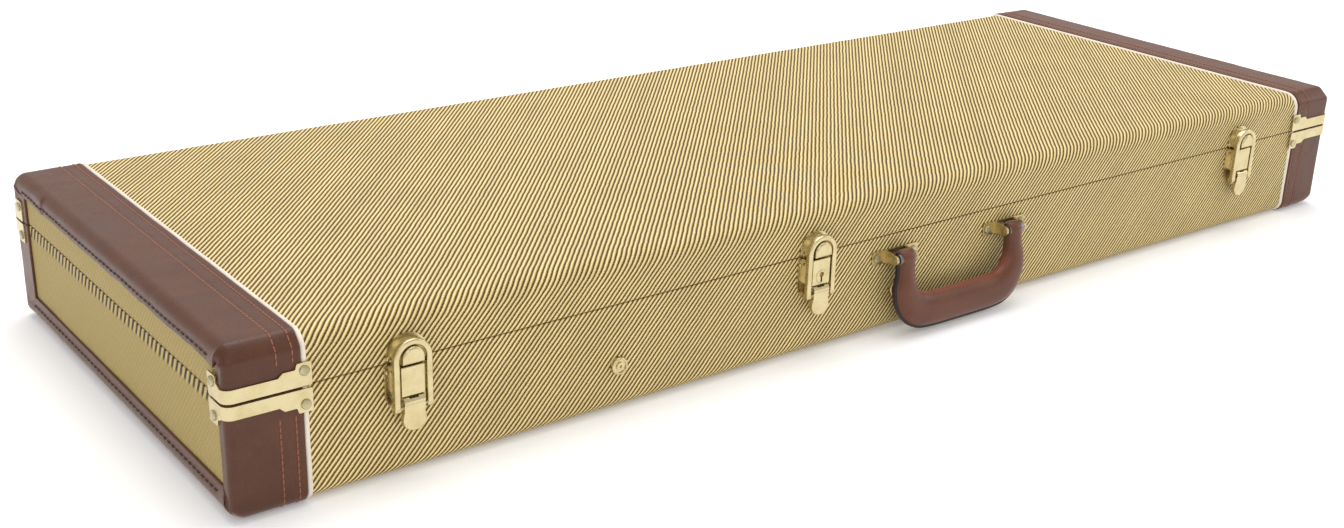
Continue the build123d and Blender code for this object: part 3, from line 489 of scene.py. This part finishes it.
def cap_column(rows, side, lid, region, value):
    """Points and normals of one line along a leather end.
    belt: value is the distance from the piping. turn: an angle on to the end face.
    face: share of the way to the window."""
    radius = corner_radius(rows, lid)
    points = np.zeros((len(rows), 3))
    normals = np.zeros((len(rows), 3))
    if region == "belt":
        points[:, 0] = CAP_EDGE + value
        points[:, 1:] = rows[:, :2]
        normals[:, 1:] = rows[:, 2:4]
    else:
        angle = value if region == "turn" else math.pi / 2
        points[:, 0] = HALF_LENGTH - radius * (1 - math.sin(angle))
        points[:, 1:] = rows[:, :2] - rows[:, 2:4] * (radius * (1 - math.cos(angle)))[:, None]
        normals[:, 0] = math.sin(angle)
        normals[:, 1:] = rows[:, 2:4] * math.cos(angle)
        if region == "face":
            y, z = window_edge(rows, lid)
            points[:, 1] += (y - points[:, 1]) * value
            points[:, 2] += (z - points[:, 2]) * value
    points[:, 0] *= side
    normals[:, 0] *= side
    return points, normals


STITCH_ROWS = (5.2, 15.0)       # distance of the two belt seams from the piping
OVERLAP_Y = 118.0


def cap_relief(rows, points, lid, region, value):
    """How far the leather stands proud of its even surface."""
    y, z = points[:, 1], points[:, 2]
    relief = 0.28 * wavy(points, 34.0, 1) + 0.10 * wavy(points, 9.0, 2)
    if region == "belt":
        for seam in STITCH_ROWS:
            relief = relief - 0.28 * math.exp(-((value - seam) / 0.9) ** 2)
        relief = relief + 0.30 * math.exp(-((value - 1.6) / 1.2) ** 2)
    if lid:
        turn = np.degrees(np.arctan2(rows[:, 3], np.abs(rows[:, 2])))
        front = (rows[:, 0] < 0) if region == "belt" else (rows[:, 0] < -HALF_WIDTH + 30)
        for at, width, tall in ((18, 8, 0.40), (70, 9, 0.45), (44, 10, -0.25)):
            relief = relief + front * tall * np.exp(-((turn - at) / width) ** 2) * (rows[:, 2] != 0)
        if region != "belt":
            step = 0.8 * smoothstep(y, OVERLAP_Y - 0.8, OVERLAP_Y + 0.2)
            step = step * smoothstep(-y, -OVERLAP_Y - 26, -OVERLAP_Y - 4)
            reach = value / (math.pi / 2) if region == "turn" else 1.0
            relief = relief + step * smoothstep(reach, 0.3, 0.7) * smoothstep(z, 92, 97)
    if region != "belt":
        reach = value / (math.pi / 2) if region == "turn" else 1.0
        corner_y = np.minimum(np.abs(y + HALF_WIDTH - 12), np.abs(y - HALF_WIDTH + 12))
        corner_z = np.abs(z - (HEIGHT - TOP_RADIUS if lid else BOTTOM_RADIUS))
        near = np.exp(-(corner_y / 7.0) ** 2 - (corner_z / 8.0) ** 2)
        pleat = np.sin(rows[:, 3] * 9.0 + 0.09 * y + 0.15 * z) + 0.5 * np.sin(rows[:, 3] * 21.0 + 0.2 * z)
        relief = relief + 0.95 * near * pleat * smoothstep(reach, 0.25, 0.8)
    return relief


def make_cap(side, lid):
    rows = wrap(0.0, lid, 2.0)
    belt_end = HALF_LENGTH - CAP_EDGE - corner_radius(rows, lid)
    columns = []
    widest = HALF_LENGTH - CAP_EDGE - PLAN_RADIUS
    shares = np.concatenate([[0, 0.15, 0.35, 0.6, 0.9], spaced(1.3, widest, 1.1)]) / widest
    for share in shares:
        points, normals = cap_column(rows, side, lid, "belt", share * widest)
        distance = share * belt_end
        points[:, 0] = side * (CAP_EDGE + distance)
        relief = cap_relief(rows, points, lid, "belt", share * widest)
        columns.append((points, normals, relief - rounded_drop(share * widest, 0.8)))
    for angle in np.radians([10, 20, 30, 40, 50, 60, 70, 80, 90]):
        points, normals = cap_column(rows, side, lid, "turn", angle)
        columns.append((points, normals, cap_relief(rows, points, lid, "turn", angle)))
    y, z = window_edge(rows, lid)
    for share in (0.12, 0.25, 0.4, 0.55, 0.7, 0.82, 0.9, 0.95, 0.98, 1.0):
        points, normals = cap_column(rows, side, lid, "face", share)
        edge = np.hypot(points[:, 1] - y, points[:, 2] - z)
        drop = rounded_drop(edge, 0.7)
        columns.append((points, normals, cap_relief(rows, points, lid, "face", share) - drop))
    rim = rounded_drop(rim_distance(rows, lid), 0.8)
    points = np.stack([c[0] for c in columns], 1)
    normals = np.stack([c[1] for c in columns], 1)
    relief = np.stack([c[2] for c in columns], 1) - rim[:, None]
    beside_rim = smoothstep(rim_distance(rows, lid), 12, 20)[:, None]
    relief = np.where(relief > 0, relief * beside_rim, relief)
    relief = np.clip(relief, -1.0, 0.9)
    outer = points + normals * relief[:, :, None]
    inner = points - normals * 1.45
    solid, faces = sheet_solid(outer, inner)
    half = "lid" if lid else "base"
    end = "left" if side < 0 else "right"
    node = f"{half}_leather_{end}"
    add_piece(f"{node}_cover", solid, faces, half, LEATHER, [node])


# ------------------------------------------------------------------ stitches
def stitch_mesh(centres, tangents, normals, length, radius):
    """One small rounded bead of thread at each place."""
    profile = ((-0.5, 0.25), (-0.42, 0.75), (-0.2, 1.0), (0.2, 1.0), (0.42, 0.75), (0.5, 0.25))
    sides = 6
    points, faces = [], []
    for centre, tangent, normal in zip(centres, tangents, normals):
        tangent = tangent / np.linalg.norm(tangent)
        sideways = np.cross(tangent, normal)
        start = len(points)
        for along, wide in profile:
            lift = radius * (0.55 - 1.6 * abs(along) ** 2)
            for k in range(sides):
                angle = 2 * math.pi * k / sides
                points.append(centre + tangent * along * length + normal * lift
                              + (sideways * math.cos(angle) + normal * math.sin(angle)) * radius * wide)
        for ring in range(len(profile) - 1):
            for k in range(sides):
                a, b = start + ring * sides + k, start + ring * sides + (k + 1) % sides
                faces.append((a, b, b + sides, a + sides))
        faces.append(tuple(start + k for k in range(sides))[::-1])
        last = start + (len(profile) - 1) * sides
        faces.append(tuple(last + k for k in range(sides)))
    return points, faces


def along_path(points, normals, pitch, skip=0.0):
    """Evenly spaced places on a line of points, with tangents and normals."""
    steps = np.linalg.norm(np.diff(points, axis=0), axis=1)
    run = np.concatenate([[0], np.cumsum(steps)])
    at = np.arange(skip + pitch / 2, run[-1] - skip, pitch)
    centres = np.stack([np.interp(at, run, points[:, k]) for k in range(3)], 1)
    ahead = np.stack([np.interp(at + 0.6, run, points[:, k]) for k in range(3)], 1)
    behind = np.stack([np.interp(at - 0.6, run, points[:, k]) for k in range(3)], 1)
    facing = np.stack([np.interp(at, run, normals[:, k]) for k in range(3)], 1)
    facing /= np.linalg.norm(facing, axis=1)[:, None]
    return centres, ahead - behind, facing


def make_stitches(side, lid):
    half = "lid" if lid else "base"
    end = "left" if side < 0 else "right"
    rows = wrap(0.0, lid, 1.2)
    points, faces = [], []
    for seam in STITCH_ROWS:
        line, normals = cap_column(rows, side, lid, "belt", seam)
        relief = cap_relief(rows, line, lid, "belt", seam)
        line = line + normals * np.minimum(relief, 0.9)[:, None]
        made, quads = stitch_mesh(*along_path(line, normals, 4.2, 16.0), 3.7, 0.48)
        faces += [tuple(v + len(points) for v in q) for q in quads]
        points += made
    add_piece(f"{half}_stitches_{end}", points, faces, half, THREAD)
    region, value = ("face", 0.30)
    line, normals = cap_column(rows, side, lid, region, value)
    relief = cap_relief(rows, line, lid, region, value)
    line = line + normals * (np.clip(relief, -1, 0.9) + 0.2)[:, None]
    keep = (rows[:, 0] > WINDOW_FRONT + 8) & (rows[:, 0] < WINDOW_BACK + 4)
    places = along_path(line[keep], normals[keep], 6.4)
    made, quads = stitch_mesh(*places, 5.0, 0.62)
    add_piece(f"{half}_end_stitches_{end}", made, quads, half, DARK_THREAD)


# ------------------------------------------------------------------ piping
def make_piping(lid):
    half = "lid" if lid else "base"
    rows = wrap(0.0, lid, 3.0)
    centre = (CAP_EDGE + PIPING_EDGE) / 2
    reach = (CAP_EDGE - PIPING_EDGE) / 2 + 0.1
    profile = [(reach * math.cos(a), -TWEED_DEPTH - 0.3 + 1.6 * math.sin(a))
               for a in np.linspace(0, math.pi, 13)]
    profile += [(-reach, -2.3), (0, -2.4), (reach, -2.3)]
    points, faces = [], []
    for side in (-1, 1):
        rings = []
        for row, dist in zip(rows, rim_distance(rows, lid)):
            sway = 0.22 * noise.noise(Vector((row[4] / 19.0, side * 3.7, 1.0 if lid else 5.0)))
            swell = 1.0 + 0.05 * noise.noise(Vector((row[4] / 7.0, side * 8.1, 2.0)))
            end = max(0.0, 1.0 - dist / 0.9)
            tuck = 1 - 0.35 * end * end
            rings.append([(side * (centre + sway + across * swell * (0.9 + 0.1 * tuck)),
                           row[0] + row[2] * (up * tuck - 0.25 * (1 - tuck)),
                           row[1] + row[3] * (up * tuck - 0.25 * (1 - tuck))) for across, up in profile])
        made, quads = ring_solid([np.array(r) for r in rings])
        faces += [tuple(v + len(points) for v in q) for q in quads]
        points += made.tolist()
    add_piece(f"{half}_piping_cord", points, faces, half, PIPING, [f"{half}_piping"])


# ------------------------------------------------------------------ cloth on the end faces
def make_end_panels(lid):
    half = "lid" if lid else "base"
    rim = LID_RIM if lid else BASE_RIM
    far = WINDOW_HIGH + 1.5 if lid else WINDOW_LOW - 1.5
    sign = 1 if lid else -1
    ys = spaced(WINDOW_FRONT - 1.5, WINDOW_BACK + 1.5, 5.0)
    zs = np.concatenate([rim + sign * np.array([0, 0.12, 0.3, 0.55, 0.85]),
                         spaced(rim + sign * 1.2, far, 1.2)])
    drop = rounded_drop(np.abs(zs - rim), 0.9)
    points, faces, weave, stripes = [], [], [], []
    for side in (-1, 1):
        grid = np.zeros((len(zs), len(ys), 3))
        grid[:, :, 0] = side * PANEL_X
        grid[:, :, 1] = ys[None, :]
        grid[:, :, 2] = zs[:, None]
        sag = 0.25 * wavy(grid.reshape(-1, 3), 40.0, 5).reshape(len(zs), len(ys))
        outer, inner = grid.copy(), grid.copy()
        outer[:, :, 0] -= side * (drop[:, None] + 0.25 + sag)
        inner[:, :, 0] -= side * (CLOTH_THICKNESS + 0.2)
        made, quads = sheet_solid(outer, inner)
        faces += [tuple(v + len(points) for v in q) for q in quads]
        points += made.tolist()
        cloth = np.stack([made[:, 1] * side, made[:, 2], np.zeros(len(made))], 1)
        weave.append(cloth)
        full, gone = (1.0, 2.4) if lid else (6.5, 9.5)
        near = 1 - smoothstep(np.abs(made[:, 2] - rim), full, gone)
        stripes.append(near * (0.3 if lid else 1.0))
    add_piece(f"{half}_end_cloth", points, faces, half, TWEED_END, [f"{half}_end_panels"],
              {"weave": np.concatenate(weave), "stripes": np.concatenate(stripes)})


# ------------------------------------------------------------------ handle
HANDLE_TILT = math.radians(6.0)
OUTER_EDGE = [(-65, 5.6), (-65, -4), (-65.6, -12), (-67.9, -22), (-66.8, -34), (-60.5, -46), (-49, -54.2),
              (-34, -57.2), (0, -57.6)]
INNER_EDGE = [(-49.2, 5.6), (-49.2, -4), (-49.2, -12), (-47.8, -19.5), (-44.5, -25), (-40, -28.3), (-34, -30),
              (-24, -30.4), (0, -30.6)]


def mirrored(edge):
    return np.array(edge + [(-x, z) for x, z in reversed(edge[:-1])], float)


def through(points, samples):
    """A smooth curve through the points, with the same number of samples in each gap."""
    padded = np.concatenate([[2 * points[0] - points[1]], points, [2 * points[-1] - points[-2]]])
    curve = []
    for k in range(1, len(padded) - 2):
        a, b, c, d = padded[k - 1:k + 3]
        for t in np.linspace(0, 1, samples, endpoint=False):
            curve.append(0.5 * (2 * b + (c - a) * t + (2 * a - 5 * b + 4 * c - d) * t * t
                                + (3 * b - a - 3 * c + d) * t ** 3))
    curve.append(points[-1])
    return np.array(curve)


def grip_section(half, thick):
    """Section of the grip: (in-plane offset towards the outer edge, out-of-plane offset, dyed, painted highlight).
    """
    welt = 1.9
    front = []
    for u in np.cos(np.linspace(math.pi * 0.985, 0.0, 15)):
        across = -half + (u + 1) / 2 * (2 * half - welt)
        out = thick * (1 - abs(u) ** 2.5) ** (1 / 2.1)
        # The last column paints a highlight along the rounded inner edge.
        front.append([across, max(out, 1.75 if u > 0 else 1.2), 0.0, float(smoothstep(-u, 0.80, 0.97)) * 0.5])
    front += [[half - welt + 0.1, 1.55, 1.0, 0.0], [half - 0.8, 1.75, 1.0, 0.0], [half - 0.1, 1.35, 1.0, 0.0]]
    back = [[across, -out, dyed, painted_highlight] for across, out, dyed, painted_highlight in reversed(front)]
    fold = [[-half - 0.1, -0.5, 0.0, 0.6], [-half + 0.0, 0.4, 0.0, 0.8], [-half + 0.55, 0.95, 1.0, 0.0]]
    return np.array(front + back + fold)


def make_handle():
    pivot = JOINT_AT["handle_swing"]
    outer, inner = through(mirrored(OUTER_EDGE), 9), through(mirrored(INNER_EDGE), 9)
    up = np.array([0, math.sin(HANDLE_TILT), math.cos(HANDLE_TILT)])
    out = np.array([0, -math.cos(HANDLE_TILT), math.sin(HANDLE_TILT)])
    rings, dyed, painted_highlight = [], [], []
    for at_outer, at_inner in zip(outer, inner):
        middle = (at_outer + at_inner) / 2
        across = (at_outer - at_inner) / 2
        half = np.linalg.norm(across)
        across /= half
        level = middle[1]
        thick = 6.3 + 1.1 * smoothstep(-level, 10, 30)
        if level > 0:
            thick = math.sqrt(max(6.75 ** 2 - level ** 2, 0.5))
        section = grip_section(half, thick)
        limit = thick + 0.2
        flat_points = middle[None, :] + across[None, :] * section[:, 0:1]
        depth = np.clip(section[:, 1], -limit, limit)
        rings.append(pivot + np.outer(flat_points[:, 0], [1, 0, 0]) + np.outer(flat_points[:, 1], up)
                     + np.outer(depth, out))
        dyed.append(section[:, 2])
        # The painted highlight is kept to the bottom bar, whose inner edge faces up.
        painted_highlight.append(section[:, 3] * smoothstep(-level, 12, 26))
    points, faces = ring_solid(rings)
    add_piece("handle_grip_leather", points, faces, "handle", HANDLE_LEATHER,
              ["handle_grip"], {"dyed": np.concatenate(dyed), "painted_highlight": np.concatenate(painted_highlight)}, sharp=70)


# ------------------------------------------------------------------ interior
def rounded_ring(half_x, half_y, radius, z, centre=(0, 0), step=18.0):
    """A rounded rectangle as a ring of points."""
    radius = min(radius, half_x - 0.1, half_y - 0.1)
    points = []
    corners = ((1, 1, 0), (-1, 1, 90), (-1, -1, 180), (1, -1, 270))
    for sx, sy, start in corners:
        for a in np.radians(start + np.linspace(0, 90, 7)):
            points.append((centre[0] + sx * (half_x - radius) + radius * math.cos(a),
                           centre[1] + sy * (half_y - radius) + radius * math.sin(a), z))
    ring = []
    counts = [max(1, int(340 // step)), max(1, int(1000 // step))] * 2
    for k in range(4):
        ring += points[k * 7:k * 7 + 7]
        a, b = np.array(points[k * 7 + 6]), np.array(points[(k * 7 + 7) % 28])
        many = counts[1] if k in (0, 2) else counts[0]
        ring += [tuple(a + (b - a) * t) for t in np.linspace(0, 1, many + 1)[1:-1]]
    return np.array(ring)


def make_linings():
    hx, hy = lining_high[0], lining_high[1]
    levels = [(4.0, 7.9), (1.5, 7.7), (0.3, 9.5), (0.1, 14.0), (0.1, 30.0), (0.1, 55.5), (2.1, 56.2),
              (2.15, 66.0), (2.2, 73.8), (2.5, 74.7), (3.0, 75.0), (3.5, 74.7), (3.9, 73.6), (4.0, 66.0),
              (4.0, 50.0), (4.0, 30.0), (4.2, 19.0), (5.0, 14.6), (6.8, 12.4), (9.5, 11.6)]
    rings = [rounded_ring(hx * k, hy * k, 2.0, 7.9) for k in (0.02, 0.4, 0.8)]
    rings += [rounded_ring(hx - d, hy - d, max(0.8, 2.5 + d), z) for d, z in levels]
    rings += [rounded_ring((hx - 10) * k, (hy - 10) * k, 9.0 * k, 11.5)
              for k in (0.96, 0.9, 0.75, 0.55, 0.35, 0.15, 0.02)]
    points, faces = ring_solid(rings)
    inside = smoothstep(points[:, 2], 10.5, 11.6)
    points[:, 2] += 0.5 * inside * wavy(points, 45.0, 8) * smoothstep(-points[:, 2], -14, -12)
    add_piece("base_plush_lining", points, faces, "base", PLUSH, ["base_lining"])
    hx, hy, top = limits("lid_lining")[1]
    levels = [(0.0, 96.0), (0.0, 86.0), (0.4, 85.2), (1.0, 85.0), (1.6, 85.2), (1.95, 86.0), (2.0, 92.0),
              (2.6, 96.0), (4.4, 98.4), (7.0, 99.3)]
    rings = [rounded_ring((hx - 6) * k, (hy - 6) * k, 2.0, top - 0.1) for k in (0.02, 0.4, 0.8, 0.97)]
    rings += [rounded_ring(hx - 1.8, hy - 1.8, 4.0, top - 1.8)]
    rings += [rounded_ring(hx - d, hy - d, 4.0, z) for d, z in levels]
    rings += [rounded_ring((hx - 8) * k, (hy - 8) * k, 6.0 * k, 99.5)
              for k in (0.97, 0.9, 0.75, 0.5, 0.25, 0.02)]
    points, faces = ring_solid(rings)
    add_piece("lid_plush_lining", points, faces, "lid", PLUSH, ["lid_lining"])


def node_copy(name, node, shrink=0.0):
    """A new object with a CAD node's shape, drawn in by shrink on every side of each separate solid."""
    mesh = NODES[node].data.copy()
    mesh.materials.clear()
    piece = bpy.data.objects.new(name, mesh)
    bpy.context.scene.collection.objects.link(piece)
    work = bmesh.new()
    work.from_mesh(mesh)
    bmesh.ops.remove_doubles(work, verts=work.verts, dist=1e-5)
    if shrink:
        left = set(work.verts)
        while left:
            island, front = set(), [next(iter(left))]
            while front:
                v = front.pop()
                if v not in island:
                    island.add(v)
                    front += [e.other_vert(v) for e in v.link_edges]
            left -= island
            co = np.array([v.co for v in island])
            middle, half = (co.min(0) + co.max(0)) / 2, (co.max(0) - co.min(0)) / 2
            factor = np.maximum(half - shrink * MM, 0.001) / half
            for v in island:
                v.co = Vector(middle + (np.array(v.co) - middle) * factor)
    work.to_mesh(mesh)
    work.free()
    return piece


def apply_modifiers(piece):
    graph = bpy.context.evaluated_depsgraph_get()
    mesh = bpy.data.meshes.new_from_object(piece.evaluated_get(graph))
    piece.modifiers.clear()
    piece.data = mesh


def remesh(piece, voxel):
    made = piece.modifiers.new("voxels", "REMESH")
    made.mode = "VOXEL"
    made.voxel_size = voxel * MM
    apply_modifiers(piece)
    if not piece.data.vertices:
        raise ValueError(f"{piece.name} is thinner than its voxels")


def settle(piece, body, material, node):
    piece.data.materials.clear()
    piece.data.materials.append(material)
    piece.data.shade_smooth()
    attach(piece, body)
    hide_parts(node)


def softened(node, body, voxel, rounds, material, ripple=0.35):
    """A wrapped block: the CAD shape with its edges smoothed round and its faces slightly uneven."""
    piece = node_copy(f"{node}_wrapped", node)
    remesh(piece, voxel)
    smooth = piece.modifiers.new("rub", "SMOOTH")
    smooth.factor = 0.5
    smooth.iterations = rounds
    apply_modifiers(piece)
    co = np.array([v.co for v in piece.data.vertices])
    normals = np.array([v.normal for v in piece.data.vertices])
    co = co + normals * ((ripple * wavy(co / MM, 22.0, 11) - ripple) * MM)[:, None]
    piece.data.vertices.foreach_set("co", co.ravel())
    piece.data.update()
    settle(piece, body, material, node)
    return piece


def stuffed(node, body, voxel, shrink, cap):
    """A pad blown up by cloth pressure from a slightly smaller copy of its CAD solid."""
    piece = node_copy(f"{node}_stuffed", node, shrink)
    remesh(piece, voxel)
    start = np.array([v.co for v in piece.data.vertices])
    cloth = piece.modifiers.new("cloth", "CLOTH")
    cloth.settings.use_pressure = True
    cloth.settings.uniform_pressure_force = 4.0
    cloth.settings.effector_weights.gravity = 0.0
    cloth.settings.quality = 4
    cloth.point_cache.frame_start, cloth.point_cache.frame_end = 1, 20
    for number in range(1, 21):
        bpy.context.scene.frame_set(number)
    apply_modifiers(piece)
    moved = np.array([v.co for v in piece.data.vertices])
    move = moved - start
    far = np.linalg.norm(move, axis=1, keepdims=True)
    move = move * np.minimum(1.0, cap * MM / np.maximum(far, 1e-9))
    piece.data.vertices.foreach_set("co", (start + move).ravel())
    piece.data.update()
    bpy.context.scene.frame_set(1)
    finer = piece.modifiers.new("finer", "SUBSURF")
    finer.levels = finer.render_levels = 1
    apply_modifiers(piece)
    settle(piece, body, PLUSH, node)
    return piece


def make_tab():
    """A short ribbon loop that lifts the compartment's lid."""
    low, high = limits("accessory_tab")
    centre, half = (low + high) / 2, (high - low) / 2
    rows = np.linspace(-1, 1, 25)
    outer = np.zeros((len(rows), 7, 3))
    for i, t in enumerate(rows):
        for j, u in enumerate(np.linspace(-1, 1, 7)):
            bow = 2.6 * (1 - t * t) + 0.25 * math.sin(9 * t)
            outer[i, j] = (centre[0] + half[0] * 0.8 * u, centre[1] + half[1] * t * 0.9,
                           low[2] + 0.9 + bow - 0.1 * u * u)
    inner = outer - np.array([0, 0, 0.75])
    points, faces = sheet_solid(outer, inner)
    add_piece("accessory_ribbon_tab", points, faces, "compartment_lid", RIBBON, ["accessory_tab"])


# ------------------------------------------------------------------ build everything
for is_lid in (False, True):
    make_tweed(is_lid)
    make_piping(is_lid)
    make_end_panels(is_lid)
    for end_side in (-1, 1):
        make_cap(end_side, is_lid)
        make_stitches(end_side, is_lid)
make_handle()
make_linings()
softened("accessory_box", "base", 2.4, 3, PLUSH)
softened("accessory_lid", "compartment_lid", 1.3, 3, PLUSH, 0.2)
softened("neck_rest", "base", 2.4, 5, PLUSH)
stuffed("lower_pad", "base", 5.0, 3.0, 3.0)
stuffed("side_pads", "base", 5.0, 2.5, 2.5)
stuffed("shoulder_pads", "base", 5.0, 4.0, 4.0)
stuffed("head_pad", "base", 5.0, 3.0, 3.0)
stuffed("lid_pad", "lid", 3.5, 0.6, 0.8)
make_tab()

SLOT_MATERIALS = {"brass_plate": BRASS, "rivet_metal": RIVET, "nickel": NICKEL, "strap_steel": STEEL,
                  "foot_rubber": RUBBER, "plywood": PLY, "plush": PLUSH, "end_leather": LEATHER,
                  "handle_leather": HANDLE_LEATHER, "white_piping": PIPING, "tweed_cloth": TWEED,
                  "ribbon": RIBBON}
for part in frame["record"]["subparts"]:
    mesh_data = NODES[part["node"]].data
    mesh_data.materials.clear()
    mesh_data.materials.append(SLOT_MATERIALS[part["material_slot"]])
# The handle brackets are brass like the other hardware; their darker copy paints shade on them.
for handle_node in ("handle_bracket_left", "handle_bracket_right"):
    NODES[handle_node].data.materials[0] = SHADED_BRASS

# ------------------------------------------------------------------ floor, light and camera
floor_shader = Shader("floor")
floor_place = floor_shader.place()
floor_tone = floor_shader.span(floor_shader.noise(floor_place, 0.004, 2.0), 0.3, 0.7, 0.995, 1.0)
FLOOR = floor_shader.finish(floor_shader.mix(1.0, (0.93, 0.93, 0.93, 1.0), floor_tone, "MULTIPLY"), 0.9,
                            Specular_IOR_Level=0.0, Emission_Color=(1.0, 1.0, 1.0, 1.0),
                            Emission_Strength=0.16)
floor_mesh = bpy.data.meshes.new("floor")
floor_mesh.from_pydata([(-9, -9, 0), (9, -9, 0), (9, 9, 0), (-9, 9, 0)], [], [(0, 1, 2, 3)])
floor = bpy.data.objects.new("floor", floor_mesh)
floor.location.z = cad_low.z - 0.0005
floor.data.materials.append(FLOOR)
bpy.context.scene.collection.objects.link(floor)

world = bpy.data.worlds.new("studio")
world.use_nodes = True
world.node_tree.nodes["Background"].inputs[0].default_value = (1.0, 1.0, 1.0, 1.0)
world.node_tree.nodes["Background"].inputs[1].default_value = 0.72
bpy.context.scene.world = world
bpy.context.scene.view_settings.view_transform = "Standard"


def area_light(name, place, target, size, power):
    lamp = bpy.data.lights.new(name, "AREA")
    lamp.shape = "DISK"
    lamp.size = size
    lamp.energy = power
    made = bpy.data.objects.new(name, lamp)
    made.location = place
    made.rotation_euler = (Vector(target) - Vector(place)).to_track_quat("-Z", "Y").to_euler()
    bpy.context.scene.collection.objects.link(made)


area_light("overhead", (0.2, 0.5, 2.6), (0, 0, 0), 2.6, 50.0)
area_light("key", (-1.6, -2.6, 2.0), (0, 0, 0.05), 1.6, 11.0)
area_light("right_fill", (2.6, -1.4, 1.2), (0, 0, 0.05), 1.4, 10.0)

CAMERA_PLACE = (-0.83090, -0.98702, 0.49168)
CAMERA_PAN = math.radians(-37.521)
CAMERA_TILT = math.radians(90 - 21.386)
CAMERA_ROLL = math.radians(1.813)
lens = bpy.data.cameras.new("camera")
lens.sensor_width = 36.0
lens.lens = 45.05
lens.clip_start = 0.01
camera = bpy.data.objects.new("camera", lens)
camera.matrix_world = (Matrix.Translation(CAMERA_PLACE) @ Matrix.Rotation(CAMERA_PAN, 4, "Z")
                       @ Matrix.Rotation(CAMERA_TILT, 4, "X") @ Matrix.Rotation(CAMERA_ROLL, 4, "Z"))
bpy.context.scene.collection.objects.link(camera)
bpy.context.scene.camera = camera
